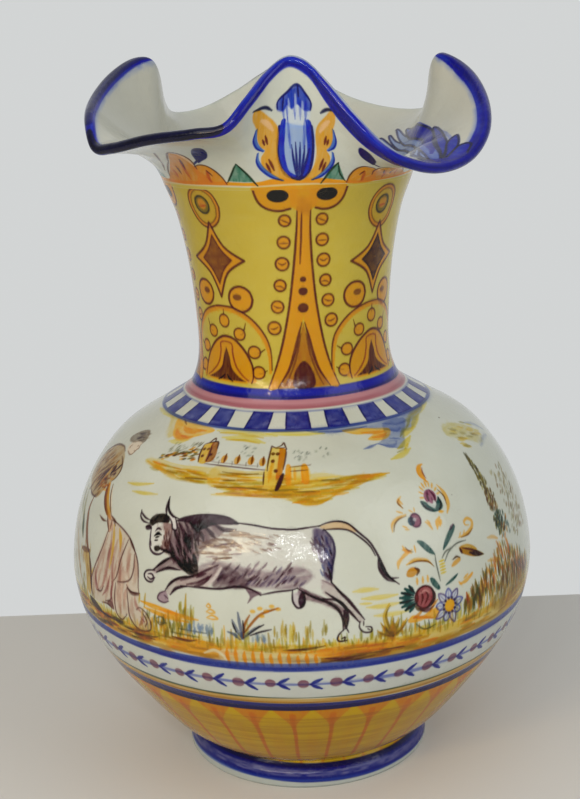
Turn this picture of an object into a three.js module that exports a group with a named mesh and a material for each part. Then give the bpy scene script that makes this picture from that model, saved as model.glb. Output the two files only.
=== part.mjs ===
// A majolica flower vase with a ruffled mouth, in millimetres, +Z up, origin at the centre of its foot.
// The pot is thrown on a wheel in sections that are luted together while leather-hard: a foot ring, a bowl,
// a belly, a neck and a mouth whose rim is bent by hand into four peaks and four valleys. Each seam is a
// stepped lap joint, and a coil of clay is pressed inside the two seams that carry the most weight.
// The front faces -Y. Azimuths are in degrees from the front, positive towards +X.
import * as THREE from "three";

// Heights of the foot and of the three seams in the wall.
const FOOT_HEIGHT = 14;
const BELLY_SEAM = 76;
const NECK_SEAM = 225.4;
const MOUTH_SEAM = 337.5;

const JOINT_GAP = 0.3; // between two sections that touch
const LAP_HEIGHT = 4.5; // of the tongue that stands up inside each seam
const FLOOR_TOP = 24; // inside of the bowl's floor

// Half profile of the outside, as height and radius.
const PROFILE = [
  [14, 66.2], [24, 80.5], [36, 91.6], [52, 104], [70, 116.8], [92, 128.6], [116, 134.1], [138, 132.7],
  [160, 126.8], [180, 116.4], [198, 100.8], [212, 78], [222, 62.2], [230, 57.2], [242, 54.6], [260, 54.6],
  [290, 57.1], [320, 62.6], [337.8, 69],
];
const WALL = [[14, 8], [76, 7.6], [150, 7], [225, 6.4], [338, 5.6]]; // height and wall thickness
const COLLAR_BEAD = { centre: 223, halfWidth: 2.6, height: 0.9 }; // raised ring at the root of the neck

// Foot ring: the bearing face and the tenon that keys it into a groove under the bowl.
const FOOT_OUTLINE = [
  [61.5, 0], [70.6, 0], [72, 1.6], [72, 4.7], [70.6, 9], [67.4, 12.4], [66.2, 14],
];
const FOOT_INNER = [[57, 14], [57.4, 8], [60, 1.4]];
const TENON = { inner: 60, outer: 63, height: 3 };

// Mouth: one row per turning point of the rim, as azimuth, lip radius, lip height and the slope of the wall
// at the lip above the horizontal. Values are for the middle of the wall.
const RIM_BASE_RADIUS = 66.2;
const RIM_BASE_LEAN = THREE.MathUtils.degToRad(17);
const RIM_BASE_PULL = 0.36; // how far the wall keeps its lean at the root, as a share of its reach
const RIM_LIP_PULL = 0.42; // and its slope at the lip
const RIM_THICKNESS = 5.4;
const RIM = [
  [-180, 80, 396, 88], [-170, 79, 390, 82], [-160, 83, 381, 68], [-148, 91, 372, 45], [-136, 90, 370, 40],
  [-124, 83, 373, 60], [-113, 77, 381, 80], [-102, 73, 394, 88], [-94, 74, 402, 90], [-87, 82, 402, 92],
  [-78, 94, 395, 90], [-68, 107, 384, 72], [-58, 117, 374, 40], [-51, 122, 363, 5], [-44, 123, 363, -4],
  [-34, 119, 367, -3], [-24, 109, 369, 0], [-17, 101, 371, 12], [-12, 91, 382, 45], [-6, 83, 394, 75],
  [1, 79, 401, 84], [8, 80, 398, 82], [15, 82, 387, 68], [22, 86, 373, 42], [29, 91, 360, 12],
  [37, 98, 350, -8], [46, 105, 346, -12], [56, 111, 350, -6], [65, 113, 361, 15], [73, 110, 374, 50],
  [81, 103, 387, 80], [87, 95, 395, 92], [92, 87, 399, 94], [98, 85, 395, 90], [106, 87, 383, 82],
  [116, 95, 373, 60], [128, 104, 367, 36], [142, 106, 367, 32], [155, 101, 373, 42], [168, 88, 386, 72],
];
const WALL_STEPS = [0.14, 0.3, 0.48, 0.66, 0.84, 1]; // places up the mouth's wall, 1 at the lip
const LIP_ANGLES = [60, 120]; // places round the lip's edge, from 0 at the outside to 180 at the inside

// Coils of clay inside the seams: lowest and highest point, and how far each bulges into the pot.
const BELLY_COIL = { low: 70, high: 87, bulge: 5 };
const NECK_COIL = { low: 219, high: 237, bulge: 3.5 };

const RING_SEGMENTS = 48;
const RIM_SEGMENTS = 72;

// Cubic through rows of [x, value, ...]: the value in the given column at x, periodic where a period is given.
function curveAt(rows, x, column = 1, period = 0) {
  const count = rows.length;
  const row = (i) => {
    if (!period) return rows[Math.min(Math.max(i, 0), count - 1)];
    const turn = Math.floor(i / count);
    const source = rows[i - turn * count];
    return source.map((value, k) => (k === 0 ? value + turn * period : value));
  };
  let i = 0;
  while (i < count - (period ? 1 : 2) && row(i + 1)[0] <= x) i++;
  const [before, start, end, after] = [row(i - 1), row(i), row(i + 1), row(i + 2)];
  const span = end[0] - start[0];
  const t = (x - start[0]) / span;
  const startSlope = (end[column] - before[column]) / (end[0] - before[0]);
  const endSlope = (after[column] - start[column]) / (after[0] - start[0]);
  return (2 * t ** 3 - 3 * t ** 2 + 1) * start[column] + (t ** 3 - 2 * t ** 2 + t) * span * startSlope
    + (3 * t ** 2 - 2 * t ** 3) * end[column] + (t ** 3 - t ** 2) * span * endSlope;
}

function outerRadius(z) {
  const offset = (z - COLLAR_BEAD.centre) / COLLAR_BEAD.halfWidth;
  const bead = Math.abs(offset) < 1 ? COLLAR_BEAD.height * (1 - offset * offset) : 0;
  return curveAt(PROFILE, z) + bead;
}

// Thickness of the wall measured level, so that a slanted wall keeps its true thickness.
function levelThickness(z) {
  const slope = curveAt(PROFILE, z + 0.5) - curveAt(PROFILE, z - 0.5); // over 1 mm of height
  return curveAt(WALL, z) * Math.hypot(1, slope);
}

// Radius at a share of the way through the wall, 0 at the outside and 1 at the inside.
function wallRadius(z, share) {
  return curveAt(PROFILE, z) - share * levelThickness(z);
}

function outside(heights) {
  return heights.map((z) => [outerRadius(z), z]);
}

function inside(heights) {
  return heights.map((z) => [wallRadius(z, 1), z]).reverse();
}

// The tongue on top of a section, from the outer shoulder to the inner edge.
function tongue(seam) {
  const top = seam + LAP_HEIGHT;
  return [
    [wallRadius(seam, 0.5) - JOINT_GAP, seam],
    [wallRadius(top, 0.5) - JOINT_GAP, top],
    [wallRadius(top, 1), top],
  ];
}

// The recess under a section that fits over the tongue below it, from the inner edge to the outer shoulder.
function recess(seam) {
  const low = seam + JOINT_GAP;
  const high = seam + LAP_HEIGHT + JOINT_GAP;
  return [
    [wallRadius(high, 1), high],
    [wallRadius(high, 0.5), high],
    [wallRadius(low, 0.5), low],
  ];
}

// A turned body from its section, as [radius, height] points in order round the clay.
function turned(points, startsOnAxis = false) {
  const outline = points.map(([radius, z]) => new THREE.Vector2(radius, z));
  if (!startsOnAxis) outline.push(outline[0].clone());
  return new THREE.LatheGeometry(outline, RING_SEGMENTS).rotateX(Math.PI / 2);
}

function footRing() {
  return turned([
    ...FOOT_OUTLINE,
    [TENON.outer, FOOT_HEIGHT],
    [TENON.outer, FOOT_HEIGHT + TENON.height],
    [TENON.inner, FOOT_HEIGHT + TENON.height],
    [TENON.inner, FOOT_HEIGHT],
    ...FOOT_INNER,
  ]);
}

function lowerBowl() {
  const base = FOOT_HEIGHT + JOINT_GAP;
  const groove = base + TENON.height;
  return turned([
    [0, base],
    [TENON.inner - JOINT_GAP, base],
    [TENON.inner - JOINT_GAP, groove],
    [TENON.outer + JOINT_GAP, groove],
    [TENON.outer + JOINT_GAP, base],
    ...outside([base, 20, 28, 40, 52, 64, BELLY_SEAM]),
    ...tongue(BELLY_SEAM),
    ...inside([32, 44, 60]),
    [62, 26],
    [52, FLOOR_TOP],
    [0, FLOOR_TOP],
  ], true);
}

function belly() {
  return turned([
    ...recess(BELLY_SEAM),
    ...outside([
      BELLY_SEAM + JOINT_GAP, 88, 100, 112, 124, 138, 150, 162, 174, 186, 196, 205, 213, 219.5, 221.4, 223, 225.2,
    ]),
    ...tongue(NECK_SEAM),
    ...inside([92, 104, 116, 130, 146, 160, 174, 186, 196, 206, 216, 223]),
  ]);
}

function neck() {
  return turned([
    ...recess(NECK_SEAM),
    ...outside([NECK_SEAM + JOINT_GAP, 231, 238, 248, 260, 275, 290, 305, 320, 330, MOUTH_SEAM]),
    ...tongue(MOUTH_SEAM),
    ...inside([236, 246, 260, 276, 292, 308, 324]),
  ]);
}

// Soft clay pressed along the inside of a seam: it backs on the wall and bulges into the pot.
function seamCoil({ low, high, bulge }) {
  const at = (share) => THREE.MathUtils.lerp(low, high, share);
  const back = (share) => [wallRadius(at(share), 1) - 2 * JOINT_GAP, at(share)];
  const face = (share, depth) => [wallRadius(at(share), 1) - depth * bulge, at(share)];
  return turned([
    ...[0, 0.25, 0.5, 0.75, 1].map(back),
    face(0.88, 0.7), face(0.5, 1), face(0.12, 0.7),
  ]);
}

// A point on the middle of the mouth's wall: one cubic Bezier from the neck to the lip at each azimuth.
function mouthPoint(azimuth, share) {
  const turn = (((azimuth + 180) % 360) + 360) % 360 - 180;
  const [lipRadius, lipHeight, lipSlope] = [1, 2, 3].map((column) => curveAt(RIM, turn, column, 360));
  const slope = THREE.MathUtils.degToRad(lipSlope);
  const rise = MOUTH_SEAM + JOINT_GAP;
  const reach = Math.hypot(lipRadius - RIM_BASE_RADIUS, lipHeight - rise);
  const section = new THREE.CubicBezierCurve(
    new THREE.Vector2(RIM_BASE_RADIUS, rise),
    new THREE.Vector2(
      RIM_BASE_RADIUS + RIM_BASE_PULL * reach * Math.sin(RIM_BASE_LEAN),
      rise + RIM_BASE_PULL * reach * Math.cos(RIM_BASE_LEAN)),
    new THREE.Vector2(
      lipRadius - RIM_LIP_PULL * reach * Math.cos(slope), lipHeight - RIM_LIP_PULL * reach * Math.sin(slope)),
    new THREE.Vector2(lipRadius, lipHeight),
  );
  const { x: radius, y: z } = section.getPoint(share);
  const angle = THREE.MathUtils.degToRad(azimuth);
  return new THREE.Vector3(radius * Math.sin(angle), -radius * Math.cos(angle), z);
}

// A point round the wall's section at the lip or below it: angle 0 is the outside face, 180 the inside face.
function mouthSkin(azimuth, share, angle) {
  const degree = 1;
  const step = 0.02; // of the wall's share
  const around = mouthPoint(azimuth + degree, share).sub(mouthPoint(azimuth - degree, share));
  const upward = mouthPoint(azimuth, share).sub(mouthPoint(azimuth, share - step)).normalize();
  const outward = around.cross(upward).normalize();
  const turn = THREE.MathUtils.degToRad(angle);
  return mouthPoint(azimuth, share)
    .addScaledVector(outward, 0.5 * RIM_THICKNESS * Math.cos(turn))
    .addScaledVector(upward, 0.5 * RIM_THICKNESS * Math.sin(turn));
}

// The mouth's skin is a grid: round the pot one way, and round the wall's section the other way.
function ruffledRim() {
  const rise = MOUTH_SEAM + JOINT_GAP;
  const ledge = MOUTH_SEAM + LAP_HEIGHT + JOINT_GAP;
  const sectionAt = (azimuth) => {
    const angle = THREE.MathUtils.degToRad(azimuth);
    const level = (radius, z) => new THREE.Vector3(radius * Math.sin(angle), -radius * Math.cos(angle), z);
    return [
      level(wallRadius(ledge, 1), ledge),
      level(wallRadius(ledge, 0.5), ledge),
      level(wallRadius(rise, 0.5), rise),
      level(wallRadius(rise, 0), rise),
      ...WALL_STEPS.map((share) => mouthSkin(azimuth, share, 0)),
      ...LIP_ANGLES.map((angle) => mouthSkin(azimuth, 1, angle)),
      ...[...WALL_STEPS].reverse().map((share) => mouthSkin(azimuth, share, 180)),
    ];
  };
  const positions = [];
  const indices = [];
  for (let j = 0; j < RIM_SEGMENTS; j++) {
    const section = sectionAt(-180 + (360 * j) / RIM_SEGMENTS);
    section.forEach((point) => positions.push(point.x, point.y, point.z));
    const count = section.length;
    const next = ((j + 1) % RIM_SEGMENTS) * count;
    for (let i = 0; i < count; i++) {
      const above = (i + 1) % count;
      const [a, b, c, d] = [j * count + i, next + i, next + above, j * count + above];
      indices.push(a, b, c, a, c, d);
    }
  }
  const geometry = new THREE.BufferGeometry();
  geometry.setAttribute("position", new THREE.Float32BufferAttribute(positions, 3));
  geometry.setIndex(indices);
  return geometry;
}

function piece(name, geometry, color, roughness) {
  const mesh = new THREE.Mesh(geometry, new THREE.MeshStandardMaterial({ color, roughness, metalness: 0 }));
  mesh.name = name;
  return mesh;
}

const vase = new THREE.Group();
vase.add(
  piece("foot_ring", footRing(), 0x3b4f97, 0.2),
  piece("lower_bowl", lowerBowl(), 0xd99a2e, 0.15),
  piece("belly", belly(), 0xd8d2c4, 0.12),
  piece("neck", neck(), 0xd9b64c, 0.15),
  piece("ruffled_rim", ruffledRim(), 0xe3e0d8, 0.12),
  piece("belly_seam_coil", seamCoil(BELLY_COIL), 0xcabfae, 0.4),
  piece("neck_seam_coil", seamCoil(NECK_COIL), 0xcabfae, 0.4),
);

export default vase;
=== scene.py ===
"""Looks of a majolica flower vase: hand-painted glazes over a pot thrown in sections.

Lengths are in millimetres until the meshes are built, which turns them into metres. +Z is up and the front
faces -Y. Azimuths are in degrees from the front, positive towards +X.
"""

import math

import bpy
import numpy as np
from mathutils import Matrix, Vector


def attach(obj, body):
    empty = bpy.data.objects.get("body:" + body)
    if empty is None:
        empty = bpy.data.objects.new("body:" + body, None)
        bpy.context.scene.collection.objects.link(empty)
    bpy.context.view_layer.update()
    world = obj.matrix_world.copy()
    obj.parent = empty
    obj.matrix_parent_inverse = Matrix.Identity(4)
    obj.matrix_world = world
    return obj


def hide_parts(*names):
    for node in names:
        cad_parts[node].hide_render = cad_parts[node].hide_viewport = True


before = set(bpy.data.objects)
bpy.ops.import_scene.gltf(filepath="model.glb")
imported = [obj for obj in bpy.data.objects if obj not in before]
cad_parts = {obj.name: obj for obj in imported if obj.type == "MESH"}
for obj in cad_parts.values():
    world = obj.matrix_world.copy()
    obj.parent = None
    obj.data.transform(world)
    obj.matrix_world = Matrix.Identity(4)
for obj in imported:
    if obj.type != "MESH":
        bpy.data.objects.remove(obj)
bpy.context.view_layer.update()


# ---------------------------------------------------------------------------------------------------------
# Shape of the turned pot, in millimetres: the same driving numbers as the CAD model.

# height, outside radius
PROFILE = np.array([
    (14, 66.2), (24, 80.5), (36, 91.6), (52, 104), (70, 116.8), (92, 128.6), (116, 134.1), (138, 132.7),
    (160, 126.8), (180, 116.4), (198, 100.8), (212, 78), (222, 62.2), (230, 57.2), (242, 54.6), (260, 54.6),
    (290, 57.1), (320, 62.6), (337.8, 69),
])
# height, wall thickness
WALL = np.array([(14, 8), (76, 7.6), (150, 7), (225, 6.4), (338, 5.6)])
FOOT_TOP = 14
BELLY_SEAM = 76
NECK_SEAM = 225.4
MOUTH_SEAM = 337.8
# height, radius
FOOT_OUTLINE = np.array([(0, 70.6), (1.6, 72), (4.7, 72), (9, 70.6), (12.4, 67.4), (14, 66.2)])


def hermite(rows, x, column=1, period=0):
    """Cubic through rows of [x, value, ...]: the value in the given column at x. A period closes the rows."""
    if period:
        before, after = rows[-2:].copy(), rows[:3].copy()
        before[:, 0] -= period
        after[:, 0] += period
        rows = np.vstack([before, rows, after])
    keys, values = rows[:, 0], rows[:, column]
    slopes = np.gradient(values, keys)
    slopes[1:-1] = (values[2:] - values[:-2]) / (keys[2:] - keys[:-2])
    i = np.clip(np.searchsorted(keys, x, side="right") - 1, 0, len(keys) - 2)
    span = keys[i + 1] - keys[i]
    t = (x - keys[i]) / span
    return (
        (2 * t**3 - 3 * t**2 + 1) * values[i] + (t**3 - 2 * t**2 + t) * span * slopes[i]
        + (3 * t**2 - 2 * t**3) * values[i + 1] + (t**3 - t**2) * span * slopes[i + 1]
    )


# ---------------------------------------------------------------------------------------------------------
# Painting. A Skin is one glazed surface unrolled: columns run round the pot from azimuth -180 degrees, rows
# run along the wall. Outlines are given as (azimuth in degrees, height in mm) and drawn as smooth curves.
# Colours are display values from 0 to 1 and turn linear when the mesh takes them.

BODY_OF_PAINT = 1.6  # above 1, thin paint covers more of what is under it
TURN = 360
FIRST_AZIMUTH = -180  # of every skin's first column
FAR = 99.0  # mm, further from a brush line than any paint reaches
STROKE_EDGE = 0.7  # mm over which a stroke's edge fades
CURVE_STEPS = 5  # rows that a curve gives for each row of its own
LATTICE_SIZE = 256
LATTICE = np.random.default_rng(11).random((LATTICE_SIZE, LATTICE_SIZE)).astype(np.float32)


def noise(x, y):
    """Smooth value noise from 0 to 1, with one blob to each unit of x and y."""
    column, row = np.floor(x).astype(int), np.floor(y).astype(int)
    u, v = x - column, y - row
    u, v = u * u * (3 - 2 * u), v * v * (3 - 2 * v)
    left, right = column % LATTICE_SIZE, (column + 1) % LATTICE_SIZE
    low, high = row % LATTICE_SIZE, (row + 1) % LATTICE_SIZE
    bottom = LATTICE[low, left] * (1 - u) + LATTICE[low, right] * u
    top = LATTICE[high, left] * (1 - u) + LATTICE[high, right] * u
    return bottom * (1 - v) + top * v


def azimuths_of(columns):
    """The azimuth of each of a number of columns that go once round the pot."""
    return np.arange(columns) / columns * TURN + FIRST_AZIMUTH


def curve(points, closed=False):
    """A smooth curve through rows of numbers, as closely spaced rows. A row given twice makes a corner."""
    points = np.array(points, float)
    if closed:
        ring = np.vstack([points[-1:], points, points[:2]])
    else:
        ring = np.vstack([points[:1], points, points[-1:]])
    before, start, end, after = ring[:-3], ring[1:-2], ring[2:-1], ring[3:]
    t = (np.arange(CURVE_STEPS) / CURVE_STEPS)[:, None, None]
    swept = 0.5 * (
        2 * start + (end - before) * t
        + (2 * before - 5 * start + 4 * end - after) * t**2
        + (3 * start - before - 3 * end + after) * t**3
    )
    corners = (start == end).all(axis=1)
    swept = swept.transpose(1, 0, 2)[~corners].reshape(-1, points.shape[1])
    return swept if closed else np.vstack([swept, points[-1:]])


class Skin:
    """A canvas of colours over one unrolled surface, and the brushes that paint on it."""

    def __init__(self, columns, pitch, heights, distances, radii, ground):
        self.columns, self.pitch = columns, pitch
        self.heights, self.distances, self.radii = heights, distances, radii
        rows = int(distances[-1] / pitch) + 1
        self.row_distance = np.arange(rows) * pitch
        self.row_arc = np.radians(np.interp(self.row_distance, distances, radii))
        self.colour = np.empty((rows, columns, 3), np.float32)
        self.colour[:] = ground
        self.strokes = 0  # counted so that no two strokes share their grain
        self.turn = 0  # added to every azimuth, so that one motif can be painted again further round

    def read(self, distances, columns):
        """The colours at these distances along the wall, in this many columns."""
        rows = distances / self.pitch
        row = np.minimum(rows.astype(int), len(self.colour) - 2)
        part = (rows - row)[:, None, None]
        step = self.columns // columns
        return self.colour[row, ::step] * (1 - part) + self.colour[row + 1, ::step] * part

    def flat(self, points):
        """(azimuth, height) rows as mm across and along the wall, round the points' middle azimuth."""
        middle = points[:, 0].mean()
        along = np.interp(points[:, 1], self.heights, self.distances)
        arc = np.interp(along, self.row_distance, self.row_arc)
        return np.stack([(points[:, 0] - middle) * arc, along], 1), middle + self.turn

    def window(self, laid, middle, margin):
        """The cells round the laid points: their rows and columns, and each one's place in mm."""
        first = max(int((laid[:, 1].min() - margin) / self.pitch), 0)
        last = min(int((laid[:, 1].max() + margin) / self.pitch) + 2, len(self.row_distance))
        if last <= first:
            return None
        arc = self.row_arc[first:last]
        per_degree = self.columns / TURN
        left = math.floor(((laid[:, 0].min() - margin) / arc.min() + middle - FIRST_AZIMUTH) * per_degree)
        right = math.ceil(((laid[:, 0].max() + margin) / arc.min() + middle - FIRST_AZIMUTH) * per_degree) + 1
        columns = np.arange(left, min(right, left + self.columns))
        x = (columns / per_degree + FIRST_AZIMUTH - middle)[None, :] * arc[:, None]
        y = np.broadcast_to(self.row_distance[first:last, None], x.shape)
        return slice(first, last), columns % self.columns, x.astype(np.float32), y.astype(np.float32)

    def near(self, x, y, start, end, margin):
        """The slice of a window that lies within the margin of one short line."""
        low = max(int((min(start[1], end[1]) - margin - y[0, 0]) / self.pitch), 0)
        high = min(int((max(start[1], end[1]) + margin - y[0, 0]) / self.pitch) + 2, len(y))
        if high <= low:
            return None
        edges = x[[low, high - 1], 0]
        cells = x[[low, high - 1], 1] - edges if x.shape[1] > 1 else np.ones(2)
        left = max(int(((min(start[0], end[0]) - margin - edges) / cells).min()), 0)
        right = min(int(((max(start[0], end[0]) + margin - edges) / cells).max()) + 2, x.shape[1])
        return None if right <= left else (slice(low, high), slice(left, right))

    def lay(self, rows, columns, mask, pigment, blend):
        """Puts pigment where mask says. Blend 0 covers what is there, and blend 1 stains it."""
        mask = 1 - (1 - np.clip(mask, 0, 1)) ** BODY_OF_PAINT
        patch = self.colour[rows, columns]
        tint = pigment * (1 - blend + blend * patch / WHITE)
        self.colour[rows, columns] = patch + mask[..., None].astype(np.float32) * (tint - patch)

    def stroke(self, points, width, pigment, load=1.0, blend=0.6, dry=0.3, taper=0.5):
        """One brush stroke. Width is in mm, one number or one for each point; taper thins the ends."""
        points = np.array(points, float)
        shares = np.linspace(0, 1, len(points))
        widths = np.interp(shares, np.linspace(0, 1, np.size(width)), np.atleast_1d(width))
        path = curve(np.column_stack([points, widths]))
        laid, middle = self.flat(path)
        found = self.window(laid, middle, path[:, 2].max() / 2 + 1)
        if found is None:
            return
        rows, columns, x, y = found
        steps = np.diff(laid, axis=0)
        lengths = np.hypot(*steps.T) + 1e-6
        starts = np.concatenate([[0], np.cumsum(lengths)])
        nearest = np.full(x.shape, FAR, np.float32)
        along, side, breadth = np.zeros_like(x), np.zeros_like(x), np.ones_like(x)
        for i, (dx, dy) in enumerate(steps):
            part = self.near(x, y, laid[i], laid[i + 1], path[i : i + 2, 2].max() / 2 + 0.6)
            if part is None:
                continue
            px, py = x[part] - laid[i, 0], y[part] - laid[i, 1]
            t = np.clip((px * dx + py * dy) / lengths[i] ** 2, 0, 1)
            gap = np.hypot(px - t * dx, py - t * dy)
            closer = gap < nearest[part]
            nearest[part] = np.where(closer, gap, nearest[part])
            along[part] = np.where(closer, starts[i] + t * lengths[i], along[part])
            side[part] = np.where(closer, (px * dy - py * dx) / lengths[i], side[part])
            wide = path[i, 2] + t * (path[i + 1, 2] - path[i, 2])
            breadth[part] = np.where(closer, wide, breadth[part])
        ends = np.minimum(along, starts[-1] - along)
        breadth = breadth * (1 - taper * np.exp(-((ends / (0.12 * starts[-1] + 0.8)) ** 2)))
        edge = np.clip((breadth / 2 - nearest) / STROKE_EDGE + 0.5, 0, 1)
        self.strokes += 1
        grain = noise(along / 5 + 17 * self.strokes, side / 0.55 + 31 * self.strokes)
        mask = load * edge * edge * (3 - 2 * edge) * (1 - dry * grain)
        self.lay(rows, columns, mask, pigment, blend)

    def wash(
        self, outline, pigment, load=1.0, blend=0.6, dry=0.3, angle=0.0, soft=0.8, grain=(6, 0.8), pool=0.15
    ):
        """A filled shape. Angle is the brush's direction; pool thickens the edge, as wet glaze does."""
        laid, middle = self.flat(curve(outline, closed=True))
        found = self.window(laid, middle, 1.5)
        if found is None:
            return
        rows, columns, x, y = found
        nearest = np.full(x.shape, 3.0, np.float32)
        inside = np.zeros(x.shape, bool)
        for (ax, ay), (bx, by) in zip(laid, np.roll(laid, -1, axis=0)):
            part = self.near(x, y, (ax, ay), (bx, by), 2.0)
            if part is not None:
                dx, dy = bx - ax, by - ay
                px, py = x[part] - ax, y[part] - ay
                t = np.clip((px * dx + py * dy) / (dx * dx + dy * dy + 1e-9), 0, 1)
                nearest[part] = np.minimum(nearest[part], np.hypot(px - t * dx, py - t * dy))
            crossed = (ay > y[:, 0]) != (by > y[:, 0])
            if crossed.any():
                inside[crossed] ^= x[crossed] < (ax + (y[crossed, :1] - ay) * (bx - ax) / (by - ay))
        depth = np.where(inside, nearest, -nearest)
        edge = np.clip(depth / soft + 0.5, 0, 1)
        self.strokes += 1
        c, s = math.cos(math.radians(angle)), math.sin(math.radians(angle))
        along, across = (c * x + s * y) / grain[0], (c * y - s * x) / grain[1]
        streaks = noise(along + 13 * self.strokes, across + 7 * self.strokes)
        rim = np.exp(-np.maximum(depth, 0) / 0.7)
        mask = load * edge * edge * (3 - 2 * edge) * (1 - dry * streaks) * (1 - pool + pool * rim)
        self.lay(rows, columns, mask, pigment, blend)

    def strokes_of(self, pigment, width, lines, **how):
        """Several strokes with one brush."""
        for line in lines:
            self.stroke(line, width, pigment, **how)

    def oval(self, azimuth, height, across, up, pigment, **how):
        """A wash in the shape of an ellipse, with its half sizes in mm across and up the wall."""
        self.wash(self.ellipse(azimuth, height, across, up), pigment, **how)

    def ring(self, azimuth, height, across, up, width, pigment, **how):
        """A brushed outline of an ellipse."""
        points = self.ellipse(azimuth, height, across, up)
        self.stroke(points + points[:1], width, pigment, taper=0, **how)

    def ellipse(self, azimuth, height, across, up):
        """Ten (azimuth, height) points round an ellipse."""
        along = np.interp(height, self.heights, self.distances)
        arc = np.interp(along, self.row_distance, self.row_arc)
        turns = np.radians(np.arange(0, TURN, TURN // 10))
        heights = np.interp(along + up * np.sin(turns), self.distances, self.heights)
        return list(zip(azimuth + across / arc * np.cos(turns), heights))

    def band(
        self, low, high, pigment, load=1.0, blend=0.3, dry=0.25, wave=0.4, grain=(14, 0.7), soft=0.8, lean=0.0
    ):
        """A belt brushed all the way round, with edges that wander as a hand-held brush's do.

        Low and high are one height, or one for each column. Lean lifts the belt on the left of the front and
        drops it on the right.
        """
        self.strokes += 1
        turns = azimuths_of(self.columns)
        edges = []
        for k, height in enumerate((low, high)):
            wander = 2 * noise(turns / 24 + 5 * self.strokes, np.full_like(turns, 3.0 * self.strokes + k)) - 1
            edge = height - lean * np.sin(np.radians(turns)) + wave * wander
            edges.append(np.interp(edge, self.heights, self.distances))
        first = max(int(edges[0].min() / self.pitch) - 4, 0)
        last = min(int(edges[1].max() / self.pitch) + 5, len(self.row_distance))
        y = self.row_distance[first:last, None]
        x = turns[None, :] * self.row_arc[first:last, None]
        cover = np.clip((y - edges[0]) / soft + 0.5, 0, 1) * np.clip((edges[1] - y) / soft + 0.5, 0, 1)
        streaks = noise(x / grain[0] + 11 * self.strokes, np.broadcast_to(y / grain[1], x.shape))
        rows = slice(first, last)
        self.lay(rows, np.arange(self.columns), load * cover * (1 - dry * streaks), pigment, blend)


def tone(red, green, blue):
    """A display colour from its 0 to 255 levels."""
    return np.array([red, green, blue], np.float32) / 255


WHITE = tone(209, 213, 201)
YELLOW = tone(199, 179, 82)
ORANGE = tone(212, 148, 16)
OLIVE = tone(92, 58, 8)
BROWN = tone(72, 46, 20)
BLACK = tone(34, 29, 26)
COBALT = tone(34, 42, 150)
DEEP_BLUE = tone(24, 28, 92)
PINK = tone(186, 128, 136)
MAUVE = tone(122, 76, 90)
PURPLE = tone(96, 70, 82)
DARK_PURPLE = tone(50, 36, 44)


STEM_DRIFT = 0.019  # degrees for each mm of height: the stems lean a little to the right
STEM_FOOT = 231  # mm: the stems stand on the blue ring here
STRETCH_START, STRETCH_RUN = 250, 60  # mm: a taller panel is stretched over this part of its height
DIAMOND_MIDDLE = 297


def paint_neck(skin):
    """The yellow neck: four straight stems between four columns of diamond, arch and palmette."""
    for centre, across in ((4.7, 1), (98, 1.05), (187, 0.97), (274, 1.02)):
        paint_stem(skin, centre, across)
    for centre, rise, inside in ((-43, 3.5, tone(104, 66, 16)), (51, 0, tone(52, 40, 46)), (143, 1, BROWN),
            (231, 2.5, BROWN)):
        paint_panel(skin, centre, rise, inside)


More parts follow.
